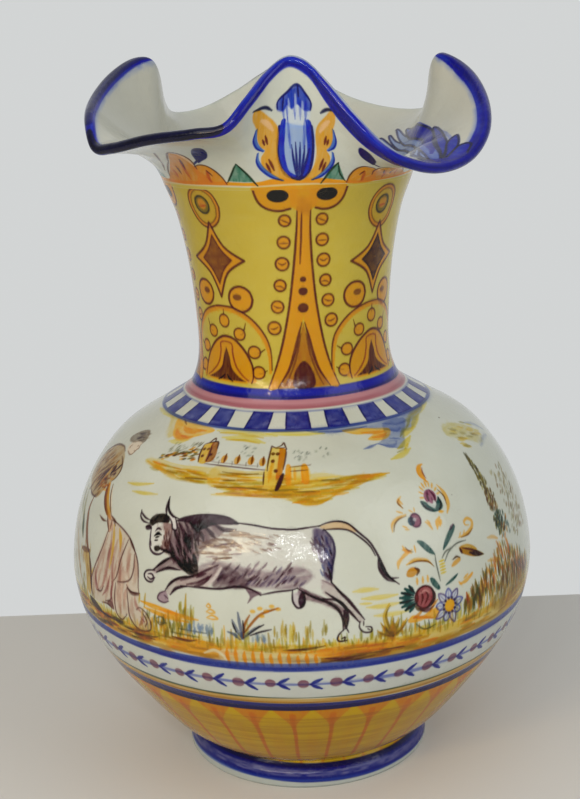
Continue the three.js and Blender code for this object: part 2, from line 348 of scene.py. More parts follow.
def paint_stem(skin, centre, across):
    """Two bands that spread at the foot, a dark wedge between them, lobes at the top and dots beside."""
    def middle(z):
        return centre + STEM_DRIFT * (z - STEM_FOOT)

    def at(points, side=1):
        return [(middle(z) + side * across * a, z) for a, z in points]

    outer = [(3.1, 330), (3.3, 318), (4.2, 304), (5.6, 290), (7.6, 275), (11, 258), (14.6, 245), (19.6, 231)]
    inner = [(0.8, 266), (3.0, 258), (5.4, 249), (8.2, 241), (11.8, 235), (14.4, 231)]
    for side in (1, -1):
        skin.wash(at(outer + inner[::-1] + [(0, 275), (0, 330)], side), ORANGE, blend=0.2, dry=0.25, angle=80)
    skin.stroke(at([(0, 330), (0, 300), (0, 272)]), 2.6, ORANGE, taper=0, blend=0)
    wedge = [(0, 266), (0, 266), (5, 248), (9, 239), (14, 231), (14, 231), (-14, 231), (-14, 231), (-9, 239),
        (-5, 248)]
    skin.wash(at(wedge), tone(168, 108, 30), blend=0.2, dry=0.5, angle=90)
    heart = [(0, 245), (3.5, 242), (6, 236), (5, 231), (-5, 231), (-6, 236), (-3.5, 242)]
    skin.wash(at(heart), BROWN, load=0.85, blend=0.6, dry=0.4, angle=90)
    for side in (1, -1):
        skin.stroke(at(outer, side), 1.2, OLIVE, load=0.95)
        skin.stroke(at(inner, side), [1.0, 1.5, 1.6, 1.3, 1, 0.8], OLIVE, load=0.9)
        skin.stroke(at([(1.4, 260), (4.2, 247), (8.2, 236.5), (10.6, 232)], side), 1.0, OLIVE, load=0.5)
    skin.stroke(at([(-1.0, 326), (-1.1, 312), (-1.6, 298)]), 1.0, OLIVE, load=0.8)
    for height, size in ((289.5, 1.5), (283, 2.2), (274, 2.6)):
        skin.oval(middle(height), height, size * 1.1, size, BROWN, load=0.9, blend=0.4)
    skin.wash(at([(-6, 338.5), (-6, 331), (-3, 326.5), (3, 326.5), (6, 331), (6, 338.5)]), ORANGE, blend=0.1,
        dry=0.3)
    for side, reach in ((1, 0.9), (-1, 1.04)):
        lobe = [(3, 339), (3, 331), (6, 327.6), (11, 326.5), (16.5, 328), (20, 332), (21.5, 339), (14, 341),
            (7, 341)]
        skin.wash(at([(a * reach, z) for a, z in lobe], side), ORANGE, blend=0.1, dry=0.3, angle=20)
        skin.stroke(at([(a * reach, z) for a, z in lobe[2:7]], side), 1.3, OLIVE, load=0.95, taper=0.1)
        skin.oval(middle(335) + side * across * 11.2 * reach, 334.6, 5.6, 3.6, BLACK, blend=0.05, dry=0.1)
        for step in range(6):
            height = 321.3 - (11.3 - 0.3 * side) * step
            azimuth = middle(height) + side * across * (8.9 + 0.6 * step + 0.17 * step**2)
            size = 3.1 + 0.2 * (step % 3)
            skin.oval(azimuth, height, size, size, ORANGE, blend=0.15, dry=0.35)
            skin.ring(azimuth, height, size, size, 1.0, OLIVE, load=0.9, dry=0.4)
            tick = [(azimuth - 2, height + 0.6 - step % 2), (azimuth, height - 0.4),
                    (azimuth + 2, height - 1.4 + step % 3)]
            skin.stroke(tick, 0.8, OLIVE, load=0.7)
    skin.wash(at([(0, 335), (0, 335), (2.6, 328.5), (1.6, 325), (-1.6, 325), (-2.6, 328.5)]),
        tone(186, 122, 16), load=0.6, dry=0.4, blend=0)


def paint_panel(skin, centre, rise, inside):
    """An eyed oval, a concave diamond, two small ovals, and a wide arch with stalked dots over a palmette."""
    def at(points):
        return [(centre + a, z + rise * min(max((z - STRETCH_START) / STRETCH_RUN, 0), 1)) for a, z in points]

    skin.oval(centre - 0.5, 325 + rise, 10, 11, tone(196, 164, 66), load=0.8, blend=0.3)
    skin.ring(centre - 0.5, 325 + rise, 10, 11, 2.0, ORANGE, blend=0.3, load=0.95)
    skin.ring(centre - 0.5, 325 + rise, 10.8, 12, 0.9, OLIVE, load=0.9)
    skin.ring(centre - 0.5, 325 + rise, 8.6, 9.8, 0.7, OLIVE, load=0.6)
    skin.oval(centre - 1, 326 + rise, 5, 5.2, tone(120, 112, 40), blend=0.3, dry=0.3)
    skin.oval(centre - 1, 326.5 + rise, 2.9, 3, ORANGE, blend=0.1, dry=0.3)
    skin.ring(centre - 1, 326 + rise, 4.9, 5.1, 1.0, tone(70, 72, 30), load=0.9)
    skin.stroke([(centre - 3.5, 325 + rise), (centre + 1.5, 325.6 + rise)], 1.0, tone(176, 84, 40), load=0.7)

    def diamond(across, up, pinch):
        quarters = ((0, up), (0, up), (across * pinch, up * pinch), (across, 0), (across, 0),
                    (across * pinch, -up * pinch))
        return [(side * a, DIAMOND_MIDDLE + side * z) for side in (1, -1) for a, z in quarters]

    outline = at(diamond(18, 19.5, 0.36))
    skin.wash(outline, ORANGE, blend=0.2, dry=0.3, angle=30)
    core = at(diamond(10.4, 12.6, 0.42))
    skin.wash(core, inside, load=0.9, blend=0.2, dry=0.5, angle=10)
    skin.stroke(core + core[:1], 0.8, inside, load=0.7, taper=0)
    skin.stroke(outline + outline[:1], 1.3, OLIVE, load=0.95, taper=0)
    for azimuth, height, mark in ((centre - 14, 278.5, 1.5), (centre + 13, 276.5, -2)):
        skin.oval(azimuth, height + 0.6 * rise, 7.4, 7, ORANGE, blend=0.2, dry=0.35)
        skin.ring(azimuth, height + 0.6 * rise, 7.4, 7, 1.3, OLIVE, load=0.95)
        skin.oval(azimuth + mark, height + 1 + 0.6 * rise, 2.7, 1.7, BROWN, load=0.6)
    arch = [(-29, 238), (-28, 252), (-24.5, 260), (-17, 267), (-8, 270.5), (0, 271.5), (9, 270.5), (18, 266),
        (25, 258.5), (28.5, 250), (29, 239)]
    skin.stroke(at(arch), 2.8, ORANGE, load=0.9, blend=0.4)
    skin.stroke(at([(a * 1.03, z + 1.3) for a, z in arch]), 1.0, OLIVE, load=0.9)
    for side in (1, -1):
        for azimuth, height, foot_a, foot_z in ((22, 238, 27, 240), (19.5, 249, 26, 251.5),
                (10.5, 258.5, 15, 264.5)):
            skin.stroke(at([(side * azimuth, height), (side * (azimuth + foot_a) / 2, height + 0.6),
                (side * foot_a, foot_z)]), 0.8, OLIVE, load=0.9)
            skin.oval(centre + side * azimuth, height + 0.2 * rise, 3.6, 3.3, ORANGE, blend=0.15, dry=0.3)
            skin.ring(centre + side * azimuth, height + 0.2 * rise, 3.6, 3.3, 0.9, OLIVE, load=0.85)
    skin.stroke(at([(0, 266), (0.2, 271)]), 0.8, OLIVE, load=0.9)
    skin.oval(centre, 265 + 0.25 * rise, 3.6, 3.5, ORANGE, blend=0.15, dry=0.3)
    skin.ring(centre, 265 + 0.25 * rise, 3.6, 3.5, 0.9, OLIVE, load=0.85)
    shell = [(-18, 233), (-18.5, 239), (-16, 246), (-10, 252.5), (-4, 256), (1, 257), (7, 255.5), (13, 250.5),
        (17.5, 243.5), (18.8, 237), (18, 233)]
    skin.wash(at(shell), ORANGE, blend=0.2, dry=0.35, angle=60)
    spear = [(0, 251), (0, 251), (2.2, 246), (4, 240), (9, 236), (14, 233.5), (14, 233.5), (-14, 233.5),
        (-14, 233.5), (-9, 236), (-4, 240), (-2.2, 246)]
    skin.wash(at(spear), BROWN, load=0.9, blend=0.4, dry=0.4, angle=90)
    skin.stroke(at(shell), 1.4, OLIVE, load=0.95)
    for side in (1, -1):
        skin.stroke(at([(0, 254), (side * 4.4, 253), (side * 4.8, 248), (side * 7, 241.5), (side * 12, 236.5),
            (side * 16, 234)]), 1.0, tone(132, 72, 18), load=0.8)
        skin.stroke(at([(side * 1, 236), (side * 3.2, 234), (side * 5.5, 233)]), 1.0, BLACK, load=0.8)


PETAL_COUNT = 34
PETAL_SHIFT = 1.0  # degrees: where the first petal stands
CHEVRON_COUNT = 48
CHEVRON_LEVEL = 93.3
CHEQUER_COUNT = 21
CHEQUER_LOW, CHEQUER_HIGH = 213.2, 219.9
LEAN = 1.2  # mm: the lines round the belly run higher on the left of the front than on the right


def paint_bands(skin):
    """Foot, petals, the lines and the chevron belt below the scene, and the rings below the neck."""
    skin.band(-1, 4.6, tone(182, 190, 186), dry=0.15, lean=LEAN)
    paint_petals(skin)
    skin.band(4.4, 12.6, tone(38, 42, 118), blend=0.2, dry=0.3, grain=(20, 1), lean=LEAN)
    # painted highlight: a pale, streaky belt round the middle of the foot ring
    skin.band(6.6, 9.6, tone(150, 148, 176), load=0.75, dry=1, grain=(4, 0.8), wave=0.8, lean=LEAN)
    skin.band(4.2, 5.6, tone(70, 92, 170), load=0.6, lean=LEAN)
    skin.band(11.0, 13.2, DEEP_BLUE, load=0.9, blend=0.2, lean=LEAN)
    skin.band(79, 83, tone(196, 150, 66), load=0.85, dry=0.5, lean=LEAN)
    skin.band(79, 80.4, tone(150, 104, 40), load=0.6, dry=0.4, lean=LEAN)
    skin.band(83.0, 84.1, tone(66, 82, 64), load=0.9, dry=0.3, soft=0.5, lean=LEAN)
    skin.band(73.2, 78.6, tone(36, 46, 112), blend=0.1, dry=0.2, lean=LEAN)
    skin.band(73.4, 76.4, DEEP_BLUE, load=0.8, blend=0.2, dry=0.4, lean=LEAN)
    paint_chevrons(skin)
    skin.band(101.8, 106.2, tone(62, 76, 150), load=0.95, dry=0.35, lean=LEAN)
    skin.band(102.2, 104.4, tone(44, 54, 138), load=0.7, dry=0.6, lean=LEAN)
    paint_chequers(skin)


def paint_petals(skin):
    """Tall pointed petals on the foot, yellow over an orange ground, with throwing rings over them."""
    skin.band(12.4, 74.5, tone(200, 126, 4), blend=0.1, dry=0.3, grain=(1.5, 12), lean=LEAN)
    for petal in range(PETAL_COUNT):
        middle = PETAL_SHIFT + TURN / PETAL_COUNT * petal
        wide = 4.75 + 0.25 * math.sin(2.3 * petal)
        tip = 73.6 + 0.8 * math.sin(1.7 * petal) - LEAN * math.sin(math.radians(middle))
        half = [(0, tip), (1.5, tip - 3.5), (3.0, tip - 8), (4.2, tip - 12.5), (wide, tip - 18), (wide, 45)]
        half += [(wide * 0.98, 30), (wide * 0.97, 18), (wide * 0.9, 12.8)]
        outline = [(middle + a, z) for a, z in half] + [(middle - a, z) for a, z in half[:0:-1]]
        skin.wash(outline, tone(200, 170, 12), blend=0.1, dry=0.2, angle=90, grain=(30, 1.2), pool=0,
            soft=0.9)
        skin.stroke([(middle + 0.3, 60), (middle, 40), (middle - 0.2, 16)], [3, 6, 4], tone(206, 176, 60),
            load=0.3)
    for petal in range(PETAL_COUNT):
        seam = PETAL_SHIFT + TURN / PETAL_COUNT * (petal + 0.5)
        skin.stroke([(seam, 69), (seam, 60), (seam + 0.2, 48), (seam - 0.2, 32), (seam, 13.5)],
            [3.4, 2.4, 1.9, 1.7, 1.5], tone(196, 110, 0), load=0.85, taper=0, blend=0)
    # painted light: a paler, brighter yellow belt low on the bowl, over the feet of the petals
    skin.band(13, 27, tone(226, 194, 70), load=0.5, blend=0.2, dry=0.4, soft=7, lean=LEAN)
    skin.band(14, 66, tone(140, 96, 0), load=0.32, dry=1, grain=(26, 0.9), lean=LEAN)


def paint_chevrons(skin):
    """A belt of mauve dots and cobalt arrowheads strung on a thin blue line."""
    skin.band(84.2, 101.6, tone(198, 204, 202), load=0.5, dry=0.3, lean=LEAN)
    skin.band(92.3, 94.3, tone(96, 108, 172), load=0.8, dry=0.45, soft=0.7, lean=LEAN)
    for pair in range(CHEVRON_COUNT):
        dot = FIRST_AZIMUTH + TURN / CHEVRON_COUNT * pair + 6.5
        level = CHEVRON_LEVEL - LEAN * math.sin(math.radians(dot)) + 0.3 * math.sin(2.9 * pair)
        size = 2.9 + 0.25 * math.sin(1.9 * pair)
        skin.oval(dot, level + 0.4, size * 1.05, size, MAUVE, load=0.85, dry=0.35, pool=0.15)
        vertex = dot + 1.6
        for side in (1, -1):
            barb = level + side * (3.6 + 0.4 * math.sin(pair))
            arm = [(vertex, level), (vertex + 1.0, level + side * 1.4), (vertex + 2.6, barb)]
            skin.stroke(arm, [1.8, 2.2, 2.3], tone(36, 46, 130), load=0.95, dry=0.3)


def paint_chequers(skin):
    """Cobalt blocks round the shoulder between two lines, then the pink collar and the blue neck ring."""
    skin.band(212.5, 213.6, tone(62, 78, 140), load=0.9, soft=0.5, wave=0.2)
    skin.band(219.6, 220.3, tone(120, 130, 170), load=0.55, soft=0.5, wave=0.2)
    for block in range(CHEQUER_COUNT):
        left = FIRST_AZIMUTH + TURN / CHEQUER_COUNT * block + 3.6
        right = left + 9.9 + 0.6 * math.sin(2.1 * block)
        lean = 0.9 * math.sin(3.7 * block)
        corners = ((left, CHEQUER_LOW), (left + 0.5 + lean, CHEQUER_HIGH), (right + 0.2 + lean, CHEQUER_HIGH),
                   (right, CHEQUER_LOW))
        outline = [corner for corner in corners for _ in range(2)]
        skin.wash(outline, tone(54, 62, 146), blend=0.3, dry=0.45, grain=(5, 1.6), pool=0.2)
        skin.wash(outline, tone(40, 44, 120), load=0.5, dry=0.9, grain=(4, 1.1), angle=15)
        skin.stroke([(left + 0.2, 213.5), (left + 0.6 + lean, 219.8)], 0.9, DEEP_BLUE, load=0.7)
        skin.stroke([(right - 0.2, 213.5), (right + lean, 219.8)], 0.9, DEEP_BLUE, load=0.6)
    skin.band(221.0, 225.6, PINK, blend=0.2, dry=0.3, grain=(25, 0.8), wave=0.15)
    skin.band(221.2, 223, tone(150, 88, 96), load=0.5, dry=0.7, wave=0.2)
    skin.band(225.4, 230.6, COBALT, blend=0.1, dry=0.25, wave=0.2)
    skin.band(225.4, 226.6, DEEP_BLUE, load=0.7, dry=0.3, wave=0.15)
    skin.band(227.6, 229, tone(70, 84, 184), load=0.5, dry=0.6, wave=0.3)


# ---------------------------------------------------------------------------------------------------------
# The scene round the belly: a bull running at a cape, a village on a hill, flowers, trees and clouds.

BLADES = 900  # of grass, all the way round
THICKET_BLADES = 420
ARC = 2.34  # mm of the belly's girth in one degree


def paint_scene(skin):
    """The scene as the photo shows it, then some of its motifs again, turned round the back."""
    paint_clouds(skin)
    paint_village(skin)
    paint_ground(skin)
    paint_bull(skin)
    paint_cape(skin)
    paint_matador(skin)
    paint_spray(skin)
    paint_trees(skin)
    for turn, paint in ((172, paint_village), (172, paint_clouds), (96, paint_spray), (226, paint_spray),
            (74, paint_trees), (178, paint_trees)):
        skin.turn = turn
        paint(skin)
    skin.turn = 0


def scatter(skin, chance, count, middle, spread, stroke, pigments, load=0.6, widths=(0.9, 1.6)):
    """Short brush marks strewn evenly round a middle, all with about the same direction and length."""
    for mark in range(count):
        azimuth = middle[0] + spread[0] * (2 * chance.random() - 1)
        height = middle[1] + spread[1] * (2 * chance.random() - 1)
        reach = 0.7 + 0.6 * chance.random()
        tip = (azimuth + stroke[0] * reach, height + stroke[1] * reach)
        width = widths[0] + (widths[1] - widths[0]) * chance.random()
        skin.stroke([(azimuth, height), tip], width, pigments[mark % len(pigments)], load=load, dry=0.5)


def paint_clouds(skin):
    """Loose streaks of yellow, orange and blue close under the chequered collar."""
    chance = np.random.default_rng(11)
    pale, straw, blue = tone(208, 194, 96), tone(196, 166, 52), tone(116, 132, 170)
    skin.wash([(-72, 212.8), (-62, 211.4), (-56, 207.4), (-52, 205.6), (-50, 208), (-54, 212.8)],
        tone(206, 186, 106), load=0.75, dry=0.7, angle=-30, grain=(9, 1.2), soft=1.6, pool=0)
    skin.wash([(-57, 212.8), (-53.4, 208.6), (-49, 206), (-43.6, 205.8), (-40.6, 208), (-34, 211.4),
        (-42, 212.8)], tone(222, 170, 58), load=0.9, dry=0.55, grain=(9, 1.2), pool=0.1)
    skin.strokes_of(tone(206, 130, 20), [2, 4, 2], ([(-52, 209), (-47, 206.8), (-41.6, 208)],
        [(-50, 210.6), (-45, 209.6), (-38, 211)], [(-47, 207.4), (-43, 207)]), load=0.65, dry=0.7)
    skin.strokes_of(pale, [2, 4.4, 2], ([(-33, 211.6), (-23, 212.2), (-8, 211)], [(-29, 209.4), (-20, 209.8),
        (-12, 208.4)], [(-50, 204.6), (-46, 205.4), (-42, 206.6)], [(-12, 211.8), (0, 212), (10, 211.2)],
        [(45, 210), (56, 211.6), (74, 213)], [(-80, 211.5), (-68, 212.4), (-54, 212.6)]), load=0.8, dry=0.6)
    skin.strokes_of(straw, 1.6, ([(-31, 211), (-22, 211.2), (-13, 210.2)], [(-27, 208.8), (-20, 209),
        (-14, 208.2)], [(50, 211), (58, 212), (66, 212.4)]), load=0.65, dry=0.6)
    skin.stroke([(-53.6, 213), (-51.6, 212.2), (-49.6, 211.4)], 1.0, OLIVE, load=0.7)
    # two thin streaks over the hill's foot
    skin.strokes_of(tone(206, 184, 80), [1, 2, 1], ([(-54.6, 184.4), (-50, 185.4), (-44, 187.8)],
        [(-51, 181.8), (-46, 182.6), (-41, 183.8)]), load=0.75, dry=0.5)
    # blue haze with an orange streak in it
    skin.wash([(4, 213.2), (12, 210.8), (24, 211.4), (34, 209.2), (40, 207), (47, 207.6), (54, 210),
        (64, 212.6), (40, 213.2)], blue, load=0.75, dry=0.55, grain=(10, 1.4), pool=0.1)
    skin.wash([(22, 203.8), (27, 204.8), (31, 203), (34.6, 201.6), (37.4, 203.4), (40.4, 206.6), (47, 211.4),
        (36, 211.8), (32.6, 208), (29, 205.6)], blue, load=0.85, dry=0.5, grain=(8, 1.4), pool=0.15)
    skin.strokes_of(tone(84, 102, 156), [1, 2, 1], ([(27.5, 205), (31.6, 203), (35, 204.6)],
        [(21.6, 204), (24.5, 204.4), (27, 205)], [(34, 209.6), (38, 208), (41, 208.6)],
        [(8, 212), (18, 211.4), (28, 211.8)], [(35, 211.6), (41, 210), (47, 210.4)],
        [(33, 206), (36.6, 205.2)]), load=0.7, dry=0.6)
    skin.wash([(17, 211.4), (22, 211.8), (30, 210.6), (36, 209.4), (34, 207), (30, 206), (25, 207),
        (28.4, 208.8), (22, 209.4)], tone(220, 168, 54), load=0.92, dry=0.5, grain=(8, 1))
    skin.strokes_of(tone(206, 132, 24), [1, 2.4, 1], ([(24, 209.8), (29, 209), (34, 208.8)],
        [(27, 207.4), (31, 207.4), (33.6, 208)]), load=0.75, dry=0.6)
    skin.strokes_of(tone(202, 184, 76), [1.6, 3.4, 1.6], ([(28.6, 198.6), (33, 199.4), (37.6, 201)],
        [(33, 201.8), (37, 203), (41.6, 205)], [(38, 205), (42, 206.6), (47.6, 207.4)], [(45, 207), (50, 209),
        (56, 210.6)], [(35, 200.8), (38, 202.6)]), load=0.85, dry=0.5)
    skin.strokes_of(tone(140, 136, 66), [1, 2, 1], ([(37.5, 205.6), (41, 207.4), (45, 208.6)],
        [(43, 207.6), (47, 209.6), (50, 210.8)], [(32, 200.6), (36, 201.4)]), load=0.7, dry=0.6)
    # cloud over the trees
    skin.wash([(56, 201), (60, 204.2), (67, 202.6), (72, 199), (76, 193), (70, 190.6), (64, 195), (59, 198)],
        tone(190, 178, 102), load=0.7, dry=0.7, grain=(7, 1.2), soft=1.6, pool=0)
    scatter(skin, chance, 26, (66, 198), (8, 4), (3, -1.6), (tone(138, 134, 76), straw, pale), load=0.6,
        widths=(1.4, 2.6))
    skin.strokes_of(tone(132, 144, 164), 2.6, ([(68, 190), (74, 191), (80, 190)], [(73, 200), (78, 197),
        (82, 192)]), load=0.6, dry=0.6)


def paint_village(skin):
    """A low hill with two towers, a wall and small trees along its top."""
    chance = np.random.default_rng(12)
    ochre = tone(206, 184, 100)
    tilled = (tone(202, 160, 40), tone(152, 140, 50), tone(218, 196, 92), tone(212, 148, 34),
        tone(170, 128, 42), tone(190, 172, 64))
    skin.wash([(-52.8, 195.4), (-51.2, 197.3), (-46, 197.9), (-38, 197.6), (-26, 198.4), (-23, 195),
        (-24.6, 192), (-32, 191.4), (-39, 191.6), (-45, 193.6), (-50, 194.4)], ochre, load=0.75, dry=0.65,
        grain=(12, 1.2), angle=-3, pool=0.1)
    skin.wash([(-26, 199), (-16, 198), (-10, 198.4), (-4, 196), (6, 197), (14, 194.8), (25, 193.6), (15, 191),
        (9, 187), (2, 183.6), (-2, 185.8), (-10, 188), (-24.5, 187.4), (-19, 190), (-26, 191.4)], ochre,
        load=0.7, dry=0.65, grain=(14, 1.3), angle=-2, pool=0.1)
    for middle, spread, stroke, count in (((-40, 195), (10, 1.4), (5, -0.3), 34), ((-31, 192.8), (6, 1.0),
            (5, 0.2), 16), ((-16, 193.6), (9, 3.6), (5, 0.1), 60), ((0, 191.4), (9, 3.6), (6, 0.3), 56),
            ((13, 193), (6, 1.4), (6, 0.3), 26), ((-14, 189), (8, 1.0), (5, 0.1), 20), ((0, 186), (4, 1.6),
            (5, 0.5), 16)):
        scatter(skin, chance, count, middle, spread, stroke, tilled, load=0.5, widths=(0.8, 1.7))
    skin.strokes_of(tone(198, 150, 40), [1, 2.4, 1], ([(-23, 188.2), (-14, 188.6), (-4, 187.6)],
        [(-2, 185.6), (4, 184.8), (9, 187.6)], [(-51.6, 195.6), (-44, 194.2), (-36, 192.2)],
        [(16, 193.4), (20, 193.6), (26, 193.6)], [(8, 188.4), (14, 190.6), (20, 192.4)]), load=0.75, dry=0.6)
    skin.strokes_of(tone(104, 84, 44), 0.7, ([(-23, 197.2), (-17, 196.8), (-12, 197.2)],
        [(6, 194.2), (11, 193.7)], [(-22, 193.8), (-18.5, 194.2)], [(-24, 190.8), (-16, 191.4), (-9, 190.8)],
        [(-34, 193), (-27, 193.6)], [(-2, 190), (5, 189.6)]), load=0.7)
    # wall along the crest, with small trees behind it
    skin.stroke([(-30, 199.6), (-20, 199.4), (-9.8, 198.7)], 0.8, tone(96, 76, 78), load=0.8)
    skin.stroke([(-28.6, 200.6), (-20, 200.4), (-11.8, 200)], 0.5, tone(140, 124, 120), load=0.6)
    for azimuth, height in ((-24.1, 202), (-19.6, 202), (-15.1, 202), (-11.4, 201.7)):
        skin.oval(azimuth, height, 1.7, 2.8, tone(206, 146, 52), load=0.9, dry=0.4)
        skin.stroke([(azimuth + 0.1, height + 1.8), (azimuth + 0.4, height - 1.2)], 1.3, tone(104, 66, 34),
            load=0.85)
        skin.stroke([(azimuth - 1.4, height - 0.6), (azimuth - 1.2, height - 2)], 0.7, tone(128, 122, 110),
            load=0.7)
    for middle, count in (((-17, 205), 12), ((0.6, 203.6), 20), ((-27.4, 202.4), 6), ((8, 204.4), 8)):
        scatter(skin, chance, count, middle, (2.6, 1.8), (0.5, 0.5), (tone(122, 134, 118),
            tone(104, 112, 108)), load=0.5, widths=(0.9, 1.3))
    # near tower
    skin.wash([(-9.3, 206.6), (-9.3, 206.6), (-6.2, 206.4), (-6.6, 198), (-7, 191.5), (-10, 192),
        (-10.2, 198)], tone(214, 188, 92), load=0.95, dry=0.3, angle=90, blend=0.3)
    skin.wash([(-6.4, 206.8), (-6.4, 206.8), (-4.4, 206.2), (-4.4, 203), (-5, 198), (-5.4, 196.5),
        (-6.8, 195), (-6.6, 200)], tone(190, 114, 24), load=0.95, dry=0.4, angle=85)
    skin.wash([(-5.2, 197.2), (-4.5, 197), (-5.2, 193), (-6.1, 190.6), (-6.9, 190.8), (-6.2, 194.4)],
        tone(60, 40, 40), load=0.95, blend=0.2, dry=0.2)
    skin.stroke([(-8, 203), (-8.4, 199), (-8.8, 194)], [1, 2.4, 1.6], tone(206, 150, 44), load=0.6, dry=0.6)
    skin.strokes_of(tone(84, 62, 58), 0.85, ([(-9.5, 198.4), (-9.6, 202), (-9.3, 206.8), (-9, 207.2),
        (-7.4, 206.6), (-4.8, 206.8)], [(-4.3, 206.4), (-4.2, 204), (-4.8, 199)], [(-7.4, 206.9),
        (-5.9, 207.6), (-5.2, 208.5), (-4.6, 207.4), (-4, 206.2)], [(-10.4, 198), (-10.2, 193)]), load=0.85)
    for azimuth, height in ((-8.4, 204.6), (-6.9, 204.6), (-8.2, 202), (-7, 198.4)):
        skin.oval(azimuth, height, 1.0, 1.1, tone(84, 54, 40), load=0.9)
    # fence beside it
    skin.wash([(-3.6, 199.4), (2.4, 199.8), (2.4, 194), (-3.2, 194)], tone(214, 192, 104), load=0.8, dry=0.4)
    for left, right in ((-4, -2.6), (0.6, 2.4)):
        skin.wash([(left, 200.2), (right, 200), (right, 193.4), (left, 193.8)], tone(220, 152, 48), load=0.92,
            dry=0.4, angle=90)
    skin.stroke([(-1.4, 199.4), (-1.4, 194.6)], 1.5, tone(220, 164, 66), load=0.7, dry=0.5)
    skin.strokes_of(tone(110, 90, 80), 0.7, ([(-2.8, 199.8), (2.6, 200.3)], [(-2.6, 198.2), (2.4, 198.5)],
        [(2.8, 200.2), (3.4, 200.4)]), load=0.75)
    # far tower
    skin.wash([(-34, 206), (-34, 206), (-30.8, 207), (-29.6, 200.2), (-32.6, 200)], tone(206, 164, 54),
        load=0.95, dry=0.4, angle=90, blend=0.3)
    skin.wash([(-31.4, 207), (-29.6, 207.4), (-27.8, 204), (-27.8, 201), (-30, 200.2), (-30.6, 203)],
        tone(146, 84, 30), load=0.95, dry=0.4, angle=80)
    skin.strokes_of(tone(72, 48, 40), 0.9, ([(-34.2, 206), (-33.6, 203), (-32.4, 199.9)],
        [(-34, 206.3), (-32.6, 207), (-29.6, 207.7), (-28.4, 205.4)], [(-32.6, 207.2), (-31.4, 208.8),
        (-30.6, 207.6)], [(-31, 206), (-30, 203), (-29.8, 200.6)]), load=0.85)
    for azimuth, height in ((-33, 204.6), (-32.2, 202.2), (-31.6, 204.8), (-29.4, 203)):
        skin.oval(azimuth, height, 0.8, 1.0, tone(84, 52, 34), load=0.85)
    # bushes that climb to the far tower
    bushes = (tone(206, 140, 36), tone(128, 84, 32), tone(118, 116, 62), tone(198, 164, 66), tone(84, 84, 62))
    for azimuth, height in ((-46.6, 199), (-44.6, 199.8), (-42.8, 200.8), (-41, 201.4), (-39.2, 202.4),
            (-37.6, 203.2), (-36, 203), (-38.6, 200.6), (-35.8, 200.8)):
        scatter(skin, chance, 8, (azimuth, height), (1.2, 1.1), (1.0, 0.4), bushes, load=0.75,
            widths=(1.1, 2.1))
    scatter(skin, chance, 34, (-43, 202.6), (3.6, 1.8), (0.4, 0.8), (tone(112, 116, 92), tone(134, 134, 104)),
        load=0.5, widths=(0.8, 1.2))
    scatter(skin, chance, 16, (-38, 205), (2.6, 1.0), (0.4, 0.9), (tone(104, 100, 84), tone(134, 134, 104)),
        load=0.5, widths=(0.8, 1.2))


